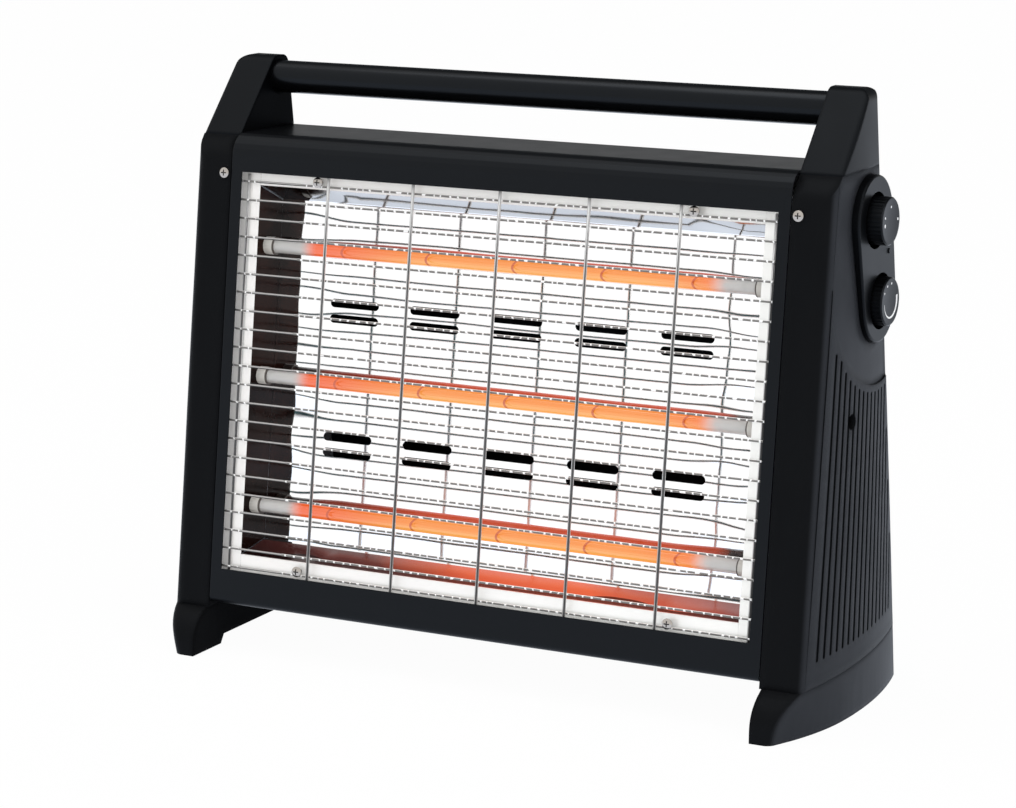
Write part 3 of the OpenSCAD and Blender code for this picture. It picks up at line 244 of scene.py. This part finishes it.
def ribbedPlastic(name, look, grip):
    # a knob's plastic with fine grip ribs round its side; the height tells which knob's axis they go round
    f = Finish(name)
    top, low = knobs["selector"], knobs["thermostat"]
    y, z = f.parts(f.place())[1:]
    upper = z > (top["z"] + low["z"]) / 2
    axisY = low["y"] + upper * (top["y"] - low["y"]) + shift.y
    axisZ = low["z"] + upper * (top["z"] - low["z"])
    angle = f.maths("ARCTAN2", z - axisZ, y - axisY)
    side = abs(f.facing()[0]) < grip["sideUnder"]
    ribs = f.maths("SINE", angle * grip["count"]) * side
    grain = f.noise(look["grain"], detail=3)
    fine = f.bump(grain, look["grainStrength"], look["grainDepth"], f.softEdges(look["edge"]))
    return f.surface(
        Base_Color=look["colour"], Roughness=look["roughness"] + grain * look["grainRough"], IOR=look["ior"],
        Specular_Tint=cold, Normal=f.bump(ribs, grip["strength"], grip["depth"], fine))


powderCoat = {
    "colour": (0.0019, 0.0020, 0.0024), "roughness": 0.36, "ior": 1.255, "edge": 0.0010,
    "peel": 420, "peelStrength": 0.1, "peelDepth": 0.0002, "dust": 60, "dustShade": 1.4, "dustRough": 0.08,
}
barLacquer = dict(
    powderCoat, colour=(0.0016, 0.0017, 0.0020), roughness=0.24, ior=1.27, peel=300, edge=0.0006)


def paint(name, look):
    # orange peel and a little dust
    f = Finish(name)
    peel = f.noise(look["peel"], detail=1)
    dust = f.noise(look["dust"], detail=4, roughness=0.65)
    colour = f.mix(dust, look["colour"], times(look["colour"], look["dustShade"]))
    return f.surface(
        Base_Color=colour, Roughness=around(look["roughness"], look["dustRough"], dust), IOR=look["ior"],
        Specular_Tint=cold,
        Normal=f.bump(peel, look["peelStrength"], look["peelDepth"], f.softEdges(look["edge"])))


mirror = {
    "colour": (0.965, 0.966, 0.968), "roughness": 0.025, "brush": 0.035, "brushStretch": (4, 900, 900),
    "dents": 16, "dentStretch": (0.45, 1, 1), "dentShade": 0.98, "wave": 0.0016, "waveStrength": 0.5,
    "endFrom": 0.125, "endAt": 0.165, "endWave": 2.5, "crease": 4.0, "creaseStretch": (6, 0, 24),
    # the flange lies up to this depth behind the front, with painted shade towards the left and painted light over it
    "flangeDepth": 0.0077, "flange": (0.88, 0.88, 0.86), "flangeShade": (0.86, 0.845, 0.83), "shadeHalf": 0.15,
    "flangePaintedLight": (0.10, 0.098, 0.095), "flangeDull": 0.8, "satin": 0.30,
    # heights of the folds along the front; above the top one the sky colour is a painted reflection of the dark top,
    # below the low one the sheet is darker and less metallic
    "topFold": 0.3098, "sky": (0.395, 0.395, 0.40),
    "lowFold": 0.0762, "lowerTone": (0.035, 0.014, 0.012), "lowerDull": 0.3, "lowerRough": 0.1,
    # a dark band lies between two depths and its inner edge wanders
    "darkBand": (0.030, 0.010, 0.009), "darkBandCover": 0.93, "darkBandDim": 0.88, "darkBandLow": 0.0082, "darkBandHigh": 0.0150,
    "darkBandWander": 0.03, "wanderStretch": (17, 0, 0),
    # the painted reflection of the tubes' glow on the lower slope
    "glowReflectionLength": 0.38, "glowReflectionDepth": 0.02, "glowReflectionLean": 1.5, "glowReflectionWander": 0.05,
    "glowReflection": [(0.0, (0.016, 0.007, 0.007)), (0.27, (0.07, 0.016, 0.014)), (0.47, (0.66, 0.100, 0.040)),
              (0.7, (0.74, 0.120, 0.046)), (0.86, (0.40, 0.070, 0.046)), (1.0, (0.18, 0.050, 0.044))],
    # the end walls' colour is a painted dark reflection, with patches of painted reddish reflection
    "wallPast": 0.7, "wall": (0.0075, 0.0032, 0.0026), "wallReflection": (0.020, 0.007, 0.005), "reflectionPatches": 30,
    "wallRough": 0.1, "wallIor": 1.13,
}


def polishedSheet(name, look, darkSides=False):
    # rolled sheet: faint lengthwise lines, and slow dents that bend its reflections, most of all near its ends
    f = Finish(name)
    x, w, v = f.frontPlace()
    lines = f.noise(1.0, f.stretched(look["brushStretch"]), detail=2)
    dents = f.noise(look["dents"], f.stretched(look["dentStretch"]), detail=1.5)
    flange = w < look["flangeDepth"]
    plain = f.mix(dents, times(look["colour"], look["dentShade"]), look["colour"])
    # painted shade on the flange, darker towards the left
    side = f.mix(f.blend(x, -look["shadeHalf"], look["shadeHalf"]), look["flangeShade"], look["flange"])
    sheet = f.mix(flange, plain, side)
    rough = look["roughness"] + lines * look["brush"] + flange * look["satin"]
    if darkSides:
        # the end walls carry a painted dark reflection with patches of painted reddish reflection, their flanges stay
        # bright
        wall = abs(f.facing()[0]) > look["wallPast"]
        reflectionPatches = f.blend(f.noise(look["reflectionPatches"], detail=3), 0.35, 0.7)
        return f.surface(
            Base_Color=f.mix(wall, sheet, f.mix(reflectionPatches, look["wall"], look["wallReflection"])),
            Metallic=(1 - wall) * (1 - flange * look["flangeDull"]),
            Roughness=rough + wall * look["wallRough"], IOR=look["wallIor"],
            # painted light on the flange, as emission
            Emission_Color=f.mix(flange * (1 - wall), black, look["flangePaintedLight"]), Emission_Strength=1.0,
            Normal=f.bump(dents, look["waveStrength"], look["wave"]))
    # the upper slope gets a painted reflection of the dark top; the lower one is darker, has a dark band along its
    # front and glows with a painted reflection of the tubes
    upper = (v > look["topFold"]) * (1 - flange)
    lower = (v < look["lowFold"]) * (1 - flange)
    wander = f.noise(1.0, f.stretched(look["wanderStretch"]), detail=1)
    inner = look["darkBandHigh"] + (wander - 0.5) * look["darkBandWander"]
    # a dark band along the front of the lower slope, which also dims the painted glow there
    banded = lower * (w > look["darkBandLow"]) * (w < inner)
    # painted reflection of the dark top on the upper slope
    colour = f.mix(upper, sheet, look["sky"])
    colour = f.mix(lower, colour, look["lowerTone"])
    colour = f.mix(banded * look["darkBandCover"], colour, look["darkBand"])
    along = x + (w - look["glowReflectionDepth"]) * look["glowReflectionLean"] + (wander - 0.5) * look["glowReflectionWander"]
    reflectedGlow = f.ramp(along / look["glowReflectionLength"] + 0.5, look["glowReflection"])
    # painted light on the flange and the painted reflection of the tubes' glow on the lower slope
    glow = f.mix(lower * (1 - banded * look["darkBandDim"]), f.mix(flange, black, look["flangePaintedLight"]), reflectedGlow)
    end = f.blend(abs(x), look["endFrom"], look["endAt"])
    creases = f.noise(1.0, f.stretched(look["creaseStretch"]), detail=1)
    height = dents * (1 + end * look["endWave"]) + creases * end * look["crease"]
    return f.surface(
        Base_Color=colour, Metallic=1 - flange * look["flangeDull"] - lower * look["lowerDull"],
        Roughness=rough + lower * look["lowerRough"], Emission_Color=glow, Emission_Strength=1.0,
        Normal=f.bump(height, look["waveStrength"], look["wave"]))


plating = {
    # the back colour is painted shade on the wires' back faces
    "bright": (0.92, 0.92, 0.91), "back": (0.06, 0.13, 0.14), "roughness": 0.3, "grain": 500, "grainRough": 0.1,
    "metal": 0.4, "ior": 1.3, "frontUnder": 0.15,
    # cross wires: painted shade in dashes, and a plain stretch at one end with its own painted shade
    "shadedDash": (0.19, 0.185, 0.18), "period": 0.0064, "gap": 0.0014, "wander": 0.011, "wanderStretch": (90, 60, 80),
    "dashUnder": 0.78, "backPast": 0.84,
    "plain": (-0.184, -0.150), "plainUnder": -0.05, "plainShade": (0.42, 0.41, 0.40), "under": (0.05, 0.05, 0.05),
    # uprights: a painted dark reflection line round one direction, with painted dimmer rims
    "upright": (0.080, 0.080, 0.082), "rim": (0.62, 0.62, 0.62), "lineAt": (0.4695, 0.8829),
    "frontLine": (0.66, 0.78), "backLine": (0.83, 0.9),
}


def wirePlating(name, look, crossing):
    # bright plate with painted shade: a cross wire is dark in dashes along its underside, an upright has a painted dark
    # reflection along its middle, both are darker behind, and the plain stretch of a cross wire and the fronts of the
    # uprights are painted dimmer
    f = Finish(name)
    x = f.frontPlace()[0]
    nx, ny, nz = f.facing()
    front = ny < look["frontUnder"]
    if crossing:
        along = x + f.noise(1.0, f.stretched(look["wanderStretch"]), detail=1.5) * look["wander"]
        shadedDash = f.maths("PINGPONG", along, look["period"] / 2) > look["gap"] / 2
        plain = (x > look["plain"][0]) * (x < look["plain"][1])
        # painted shade in dashes along the underside
        shaded = shadedDash * (nz < look["dashUnder"]) * (1 - plain) + (nz < look["plainUnder"]) * plain
        grey = front * shaded + (1 - front) * (ny > look["backPast"])
        dark = f.mix(front, look["back"], f.mix(plain, look["shadedDash"], look["under"]))
        bright = f.mix(plain * front, look["bright"], look["plainShade"])
    else:
        # painted dark reflection along the upright's middle
        line = nx * look["lineAt"][0] + abs(ny) * look["lineAt"][1]
        grey = f.blend(line, *look["backLine"]) * (1 - front) + f.blend(line, *look["frontLine"]) * front
        dark = f.mix(front, look["back"], look["upright"])
        bright = f.mix(front, look["bright"], look["rim"])
    rough = look["roughness"] + f.noise(look["grain"]) * look["grainRough"]
    return f.surface(
        Base_Color=f.mix(grey, bright, dark), Metallic=(1 - grey) * look["metal"], Roughness=rough, IOR=look["ior"])


zincPlate = {
    "colour": (0.55, 0.56, 0.58), "roughness": 0.34, "edge": 0.0002,
    "spangle": 160, "spangleShade": 0.85, "spangleRough": 0.08,
    "scratchStretch": (60, 1400, 60), "scratchRough": 0.06, "scratchStrength": 0.08, "scratchDepth": 0.0001,
    "recessShade": 0.0, "recessShadeReach": 0.0022, "recessShadeFrom": 0.06, "recessShadeAt": 0.36, "recessShadeColour": (0.02, 0.02, 0.02),
}
# screws get painted shade in their recesses
screwZinc = dict(zincPlate, colour=(0.46, 0.425, 0.39), roughness=0.14, recessShade=0.97)


def zinc(name, look):
    # crystals and fine scratches; a screw gets painted shade in its recesses
    f = Finish(name)
    spangle = f.node(
        "ShaderNodeTexVoronoi", inputs={"Vector": f.place(), "Scale": look["spangle"]}, out="Distance")
    scratches = f.noise(1.0, f.stretched(look["scratchStretch"]), detail=2)
    colour = f.mix(spangle, times(look["colour"], look["spangleShade"]), look["colour"])
    if look["recessShade"]:
        # painted shade where ambient occlusion finds a recess
        reach = {"Distance": look["recessShadeReach"]}
        hidden = 1 - f.node("ShaderNodeAmbientOcclusion", {"samples": 8}, reach, out="AO")
        shadedRecess = f.blend(hidden, look["recessShadeFrom"], look["recessShadeAt"]) * look["recessShade"]
        colour = f.mix(shadedRecess, colour, look["recessShadeColour"])
    rough = look["roughness"] + spangle * look["spangleRough"] + scratches * look["scratchRough"]
    normal = f.bump(scratches, look["scratchStrength"], look["scratchDepth"], f.softEdges(look["edge"]))
    return f.surface(Base_Color=colour, Metallic=1.0, Roughness=rough, Normal=normal)


quartz = {
    "clear": (0.80, 0.79, 0.77), "clearBackTone": (0.05, 0.03, 0.025), "glass": (0.04, 0.012, 0.006),
    "alphaClear": 0.66, "alphaGlow": 0.96, "roughness": 0.12, "streakRough": 0.06, "streakStretch": (10, 420, 420),
    "coatRoughness": 0.02, "coatIor": 1.65, "backCoat": 0.9,
    # the glow: half its length, how it fades past it, and where its colour turns to the end's
    "half": 0.152, "fade": 0.010, "centre": 0.025, "turnFrom": 0.07, "turnPast": 0.02, "turned": 0.92,
    "upper": (0.90, 0.27, 0.030), "lower": (0.93, 0.40, 0.085), "upperAt": 0.45, "lowerAt": -0.35, "streaks": 0.5,
    "end": (0.85, 0.10, 0.016), "back": (0.52, 0.055, 0.016), "backEnd": (0.15, 0.018, 0.010),
    "backFrom": -0.05, "backAt": 0.25,
    # thin bowed painted shadows of the guard's uprights
    "shadowPitch": 0.0642, "shadowAt": 0.0051, "shadowBow": 0.0028, "shadowHalf": 0.0009, "shadow": 0.8,
    "shadowDim": 0.6,
}


def quartzGlass(name, look):
    # milky quartz that glows along the wound part, deeper red behind, and clears towards the caps
    f = Finish(name)
    x = f.frontPlace()[0]
    ny, nz = f.facing()[1:]
    inside = f.blend(abs(x), look["half"] + look["fade"] / 2, look["half"] - look["fade"])
    toEnd = f.blend(abs(x - look["centre"]), look["turnFrom"], look["half"] + look["turnPast"])
    streak = f.noise(1.0, f.stretched(look["streakStretch"]), detail=2)
    height = f.blend(nz + (streak - 0.5) * look["streaks"], look["upperAt"], look["lowerAt"])
    warm = f.mix(height, look["upper"], look["lower"])
    warm = f.mix(toEnd * look["turned"], warm, look["end"])
    # painted shadows of the guard's uprights, bowed round the tube
    along = x - look["shadowAt"] - nz * nz * look["shadowBow"]
    shaded = f.maths("PINGPONG", along, look["shadowPitch"] / 2) < look["shadowHalf"]
    front = f.mix(shaded * look["shadow"], warm, times(look["end"], look["shadowDim"]))
    back = f.blend(ny, look["backFrom"], look["backAt"])
    glow = f.mix(back, front, f.mix(toEnd, look["back"], look["backEnd"]))
    return f.surface(
        # the clear ends are darker behind
        Base_Color=f.mix(inside, f.mix(back, look["clear"], look["clearBackTone"]), look["glass"]),
        Roughness=look["roughness"] + streak * look["streakRough"],
        Alpha=look["alphaClear"] + inside * (look["alphaGlow"] - look["alphaClear"]),
        Emission_Color=f.mix(inside, black, glow), Emission_Strength=1.0,
        Coat_Weight=1 - back * look["backCoat"], Coat_Roughness=look["coatRoughness"], Coat_IOR=look["coatIor"])


hotWire = {
    "centre": (1.0, 0.42, 0.12), "end": (0.95, 0.17, 0.06), "half": 0.1525, "turnFrom": 0.07, "glow": 1.5,
    "oxide": (0.05, 0.045, 0.04), "oxideLight": (0.16, 0.14, 0.12), "grain": 900, "metal": 0.4, "roughness": 0.5,
}


def hotCoil(name, look):
    # resistance wire: glows along the coil, oxide grey on its tails
    f = Finish(name)
    x = f.frontPlace()[0]
    warm = f.mix(f.blend(abs(x), look["turnFrom"], look["half"]), look["centre"], look["end"])
    oxide = f.mix(f.noise(look["grain"]), look["oxide"], look["oxideLight"])
    return f.surface(
        Base_Color=oxide, Metallic=look["metal"], Roughness=look["roughness"],
        Emission_Color=f.mix(abs(x) > look["half"], warm, black), Emission_Strength=look["glow"])


capBands = {
    "light": (0.74, 0.72, 0.68), "shade": (0.60, 0.58, 0.54), "clouds": 75, "grain": 900, "roughness": 0.4,
    "grainRough": 0.12, "grainStrength": 0.2, "grainDepth": 0.0001,
    "joint": 0.1770, "groove": 0.1850, "half": 0.0005, "dark": (0.10, 0.085, 0.075),
    "back": (0.02, 0.012, 0.010), "backFrom": 0.05, "backAt": 0.35,
}


def steatite(name, look):
    # white ceramic with two dark joints round each cap, darker behind
    f = Finish(name)
    x = f.frontPlace()[0]
    grain = f.noise(look["grain"], detail=4, roughness=0.6)
    body = f.mix(f.noise(look["clouds"], detail=3), look["shade"], look["light"])
    joint, groove = (abs(abs(x) - look[k]) < look["half"] for k in ("joint", "groove"))
    colour = f.mix(joint + groove, body, look["dark"])
    colour = f.mix(f.blend(f.facing()[1], look["backFrom"], look["backAt"]), colour, look["back"])
    return f.surface(
        Base_Color=colour, Roughness=look["roughness"] + grain * look["grainRough"],
        Normal=f.bump(grain, look["grainStrength"], look["grainDepth"]))


def matte(name, light, dark, roughness, scale=900, depth=0.0001, strength=0.2, spread=0.12, clouds=12):
    # clouds is how many times larger the patches are than the grain
    f = Finish(name)
    grain = f.noise(scale, detail=4, roughness=0.6)
    colour = f.mix(f.noise(scale / clouds, detail=3), dark, light)
    return f.surface(
        Base_Color=colour, Roughness=around(roughness, spread, grain), Normal=f.bump(grain, strength, depth))


looks = {
    "housing": plastic("housingPlastic", mouldedBlack),
    "sides": plastic("sidePlastic", sideBlack),
    "feet": plastic("footPlastic", footBlack),
    "pod": plastic("podPlastic", podBlack),
    "knob": ribbedPlastic("knobPlastic", knobBlack, gripRibs),
    "casing": paint("casingPaint", powderCoat),
    "bar": paint("barLacquer", barLacquer),
    "mirror": polishedSheet("polishedSheet", mirror),
    "mirrorEnds": polishedSheet("polishedEnds", mirror, darkSides=True),
    "crossWire": wirePlating("crossWirePlating", plating, crossing=True),
    "uprightWire": wirePlating("uprightWirePlating", plating, crossing=False),
    "zinc": zinc("zincPlate", zincPlate),
    "screw": zinc("screwZinc", screwZinc),
    "quartz": quartzGlass("quartzGlass", quartz),
    "coil": hotCoil("hotCoil", hotWire),
    "ceramic": steatite("steatite", capBands),
    "cream": matte("switchPlastic", (0.62, 0.60, 0.53), (0.56, 0.54, 0.47), 0.42),
    "dark": matte("darkPlastic", (0.030, 0.030, 0.032), (0.020, 0.020, 0.022), 0.45),
    "jacket": matte("wireJacket", (0.66, 0.66, 0.60), (0.55, 0.55, 0.50), 0.5, 1400),
    "print": matte("dialPrint", (0.85, 0.86, 0.87), (0.78, 0.79, 0.80), 0.5, 1600, 0.00003),
}
print("heater: finishes made")

# Every node that isn't named here is a set of screws
wearing = {
    "front_casing": "casing", "rear_cover": "casing", "bottom_plate": "casing",
    "end_plate_right": "zinc", "end_plate_left": "zinc",
    "side_panel_right": "sides", "side_panel_left": "sides", "foot_right": "feet", "foot_left": "feet",
    "handle_bracket_right": "housing", "handle_bracket_left": "housing", "handle_bar": "bar",
    "reflector_back": "mirror", "reflector_end_right": "mirrorEnds", "reflector_end_left": "mirrorEnds",
    "wire_guard": "uprightWire", "quartz_tube_top": "quartz", "quartz_tube_middle": "quartz",
    "quartz_tube_bottom": "quartz", "heating_element_top": "coil", "heating_element_middle": "coil",
    "heating_element_bottom": "coil", "tube_caps": "ceramic", "tube_holders": "zinc", "control_pod": "pod",
    "selector_switch": "cream", "selector_spindle": "zinc", "selector_knob": "knob", "thermostat": "cream",
    "thermostat_spindle": "zinc", "thermostat_knob": "knob", "tilt_switch": "dark", "thermal_cutout": "dark",
    "terminal_block": "cream", "cable_gland": "dark", "wiring": "jacket",
}
for name, node in nodes.items():
    node.data.materials.clear()
    node.data.materials.append(looks[wearing.get(name, "screw")])
print("heater: every node has its finish")


def added(name, data):
    # an object in the scene
    made = bpy.data.objects.new(name, data)
    bpy.context.scene.collection.objects.link(made)
    return made


class Builder:
    # gathers vertices and faces of one mesh
    def __init__(self):
        self.vertices = []
        self.faces = []

    def tube(self, points, radii, sides=12):
        # round capped tube through points; radii is a number or one for each point
        count = len(points)
        radii = radii if isinstance(radii, list) else [radii] * count
        base = len(self.vertices)
        side = None
        for i, point in enumerate(points):
            travel = (points[min(i + 1, count - 1)] - points[max(i - 1, 0)]).normalized()
            if side is None:
                # any direction that no tube follows
                side = travel.cross(Vector((0.13, 0.31, 0.94))).normalized()
            side = (side - side.dot(travel) * travel).normalized()
            other = travel.cross(side)
            for k in range(sides):
                a = 2 * math.pi * k / sides
                self.vertices.append(point + radii[i] * (side * math.cos(a) + other * math.sin(a)))
        for i in range(count - 1):
            for k in range(sides):
                q = (k + 1) % sides
                a, b = base + i * sides, base + (i + 1) * sides
                self.faces.append((a + k, a + q, b + q, b + k))
        self.faces.append(tuple(base + k for k in reversed(range(sides))))
        self.faces.append(tuple(base + (count - 1) * sides + k for k in range(sides)))

    def piece(self, name, look, body="root"):
        data = bpy.data.meshes.new(name)
        data.from_pydata([tuple(v) for v in self.vertices], [], self.faces)
        data.update()
        data.shade_smooth()
        made = added(name, data)
        data.materials.append(looks[look])
        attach(made, body)
        return made


guard = {
    "upright": 0.0022, "cross": 0.0016, "count": 22, "low": 0.060, "high": 0.32065, "pitch": 0.0642, "uprights": 5,
    "edge": 0.192, "edgePast": 0.005, "half": 0.197, "seat": 0.0011, "sunk": 0.0003,
    "restLow": 0.052, "restHigh": 0.33355, "restGap": 0.002, "points": 64, "crossSides": 10,
    # a fillet of weld along a cross wire: places from its middle and radii
    "weld": {-0.0014: 0.0003, -0.0006: 0.00085, 0.0006: 0.00085, 0.0014: 0.0003}, "weldLift": 0.0011, "weldSides": 8,
}


def makeGuard(look):
    uprights, crosses = Builder(), Builder()
    upW = look["seat"] + look["upright"] / 2
    crossW = look["seat"] + look["upright"] + look["cross"] / 2 - look["sunk"]
    edgeW = crossW + look["cross"] / 2 + look["upright"] / 2 - look["sunk"]
    step = (look["high"] - look["low"]) / (look["count"] - 1)
    levels = [look["low"] + step * i for i in range(look["count"])]
    places = [(i - (look["uprights"] - 1) / 2) * look["pitch"] for i in range(look["uprights"])]
    low, high = look["restLow"] + look["restGap"], look["restHigh"] - look["restGap"]
    for x in places:
        uprights.tube([onFront(x, upW, low), onFront(x, upW, high)], look["upright"] / 2)
    low, high = look["low"] - look["edgePast"], look["high"] + look["edgePast"]
    for x in (-look["edge"], look["edge"]):
        uprights.tube([onFront(x, edgeW, low), onFront(x, edgeW, high)], look["upright"] / 2)
    last = look["points"] - 1
    for v in levels:
        points = [onFront(-look["half"] + 2 * look["half"] * j / last, crossW, v) for j in range(look["points"])]
        crosses.tube(points, look["cross"] / 2, look["crossSides"])
    for v in levels:
        for x in places:
            weld = [onFront(x + d, upW + look["weldLift"], v) for d in look["weld"]]
            crosses.tube(weld, list(look["weld"].values()), look["weldSides"])
    for name, builder, finish in (
            ("guardUprights", uprights, "uprightWire"), ("guardCrossWires", crosses, "crossWire")):
        piece = builder.piece(name, finish)
        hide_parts("wire_guard")


makeGuard(guard)
print("heater: guard wires welded")

coil = {
    "outer": 0.0064, "wire": 0.0007, "pitch": 0.00125, "half": 0.152, "perTurn": 14, "sides": 5, "depth": 0.020,
    "tail": 0.0024, "twist": 0.0016, "tailBack": 0.004, "tailPast": 0.002, "tailSides": 10, "tubeHalf": 0.190,
}
tubeHeights = {"bottom": 0.102, "middle": 0.19002, "top": 0.27805}


def makeCoil(place, v, look):
    b = Builder()
    radius = (look["outer"] - look["wire"]) / 2
    turns = int(2 * look["half"] / look["pitch"])
    points = []
    for i in range(turns * look["perTurn"] + 1):
        a = 2 * math.pi * i / look["perTurn"]
        x = -look["half"] + look["pitch"] * i / look["perTurn"]
        points.append(onFront(x, look["depth"] + radius * math.cos(a), v + radius * math.sin(a)))
    b.tube(points, look["wire"] / 2, look["sides"])
    for side in (-1, 1):
        # twisted tail from the last turn to the cap
        places = (look["half"] - look["tailBack"], look["half"] + look["tailPast"], look["tubeHalf"])
        tail = [onFront(side * x, look["depth"], v) for x in places]
        b.tube(tail, [look["twist"], look["tail"] / 2, look["tail"] / 2], look["tailSides"])
    piece = b.piece("coil_" + place, "coil")
    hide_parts("heating_element_" + place)


for place, v in tubeHeights.items():
    makeCoil(place, v, coil)
print("heater: coils wound")

# Dots are y to the back, z up and a radius from the knob's axis; the band's ends are an angle from +y and a radius
marks = {
    "selector": [
        (0.0008, 0.0089, 0.00085), (-0.0089, 0.0031, 0.00085), (-0.0091, -0.0019, 0.0012), (0.0118, 0.0, 0.0009)],
    "thermostat": [(0.0018, 0.0114, 0.0008), (-0.0050, 0.0105, 0.0008), (-0.0099, 0.0066, 0.0008)],
    "band": {"first": (185, 0.0095), "last": (375, 0.0112), "narrow": 0.0005, "wide": 0.0021, "steps": 48},
    "dotSides": 20, "dishDepth": 0.0006, "lift": 0.00004,
}


def dishedAt(knob, y, z):
    # a point just above the dished face of a knob
    r = min(1.0, math.hypot(y, z) / knob["dish"])
    x = knob["face"] - marks["dishDepth"] * (1 - r * r) + marks["lift"]
    return Vector((x, knob["y"] + y, knob["z"] + z)) + shift


def addDot(b, knob, y, z, radius):
    base, sides = len(b.vertices), marks["dotSides"]
    b.vertices.append(dishedAt(knob, y, z))
    for k in range(sides):
        a = 2 * math.pi * k / sides
        b.vertices.append(dishedAt(knob, y + radius * math.cos(a), z + radius * math.sin(a)))
    for k in range(sides):
        b.faces.append((base, base + 1 + k, base + 1 + (k + 1) % sides))


def addBand(b, knob, first, last, narrow, wide, steps):
    # its radius and width grow from first to last
    base = len(b.vertices)
    for k in range(steps + 1):
        t = k / steps
        a = math.radians(first[0] + (last[0] - first[0]) * t)
        middle = first[1] + (last[1] - first[1]) * t
        half = (narrow + (wide - narrow) * t) / 2
        for r in (middle - half, middle + half):
            b.vertices.append(dishedAt(knob, r * math.cos(a), r * math.sin(a)))
    for k in range(steps):
        i = base + 2 * k
        b.faces.append((i, i + 1, i + 3, i + 2))


for name, knob in knobs.items():
    b = Builder()
    for y, z, radius in marks[name]:
        addDot(b, knob, y, z, radius)
    if name == "thermostat":
        addBand(b, knob, **marks["band"])
    b.piece(name + "Marks", "print", knob["body"])
print("heater: knobs marked")

studio = {
    "floor": (0.90, 0.90, 0.90), "half": 6, "seen": 0.97, "mirrored": (1.18, 1.27, 1.42), "mirroredShare": 0.9,
    "front": (1.10, 1.10, 1.10), "behind": (0.09, 0.10, 0.11), "behindY": (0.05, 0.5), "behindZ": (0.05, 0.17),
    "lamps": [
        {"name": "keyRight", "place": (2.4, -0.6, 1.5), "target": (0, 0, 0.2), "size": (1.6, 1.6), "power": 16},
        {"name": "topFill", "place": (-0.4, -0.4, 2.6), "target": (0, 0, 0.3), "size": (1.8, 1.2), "power": 12},
    ],
}


def makeFloor(look):
    f = Finish("paleFloor")
    camera = f.node("ShaderNodeLightPath", out="Is Camera Ray")
    gloss = f.node("ShaderNodeLightPath", out="Is Glossy Ray")
    cloth = f.node("ShaderNodeBsdfDiffuse", inputs={"Color": (*look["floor"], 1)})
    colour = f.mix(gloss, white, look["mirrored"])
    bright = f.node("ShaderNodeEmission", inputs={"Color": colour, "Strength": 1.0})
    share = camera * look["seen"] + gloss * look["mirroredShare"]
    f.show(f.node("ShaderNodeMixShader", inputs={0: share, 1: cloth, 2: bright}))
    half = look["half"]
    data = bpy.data.meshes.new("floor")
    data.from_pydata([(-half, -half, 0), (half, -half, 0), (half, half, 0), (-half, half, 0)], [], [(0, 1, 2, 3)])
    data.materials.append(f.material)
    added("floor", data)


def makeWorld(look):
    # a white studio in front and beside, dim above and behind, and pure white where the camera looks
    world = bpy.data.worlds.new("studio")
    bpy.context.scene.world = world
    world.use_nodes = True
    n = Nodes(world.node_tree)
    dy, dz = n.parts(n.node("ShaderNodeTexCoord", out="Generated"))[1:]
    behind = n.blend(dy, *look["behindY"]) * n.blend(dz, *look["behindZ"])
    soft = n.mix(behind, look["front"], look["behind"])
    seen = n.node("ShaderNodeLightPath", out="Is Camera Ray")
    sky = n.node("ShaderNodeBackground", inputs={"Color": n.mix(seen, soft, white), "Strength": 1.0})
    n.node("ShaderNodeOutputWorld", inputs={"Surface": sky})


def softbox(name, place, target, size, power):
    lamp = bpy.data.lights.new(name, "AREA")
    lamp.shape = "RECTANGLE"
    lamp.size, lamp.size_y = size
    lamp.energy = power
    made = added(name, lamp)
    made.location = place
    made.rotation_euler = (Vector(target) - Vector(place)).to_track_quat("-Z", "Y").to_euler()


makeFloor(studio)
makeWorld(studio)
for lamp in studio["lamps"]:
    softbox(**lamp)

view = {
    "azimuth": 27.998, "elevation": 12.458, "roll": -0.314, "place": (0.977, -1.8645, 0.6427), "lens": 115.782,
    "sensor": 36,
}


def makeCamera(look):
    az, el, roll = (math.radians(look[k]) for k in ("azimuth", "elevation", "roll"))
    back = Vector((math.sin(az) * math.cos(el), -math.cos(az) * math.cos(el), math.sin(el)))
    right = Vector((math.cos(az), math.sin(az), 0))
    up = back.cross(right)
    turnedRight = math.cos(roll) * right + math.sin(roll) * up
    turnedUp = math.cos(roll) * up - math.sin(roll) * right
    data = bpy.data.cameras.new("photoView")
    data.lens = look["lens"]
    data.sensor_width = look["sensor"]
    data.sensor_fit = "HORIZONTAL"
    camera = added("photoView", data)
    turn = Matrix((turnedRight, turnedUp, back)).transposed().to_4x4()
    camera.matrix_world = Matrix.Translation(look["place"]) @ turn
    bpy.context.scene.camera = camera


makeCamera(view)
bpy.context.scene.view_settings.view_transform = "Standard"
print("heater: floor, light and camera set")

bpy.context.view_layer.update()
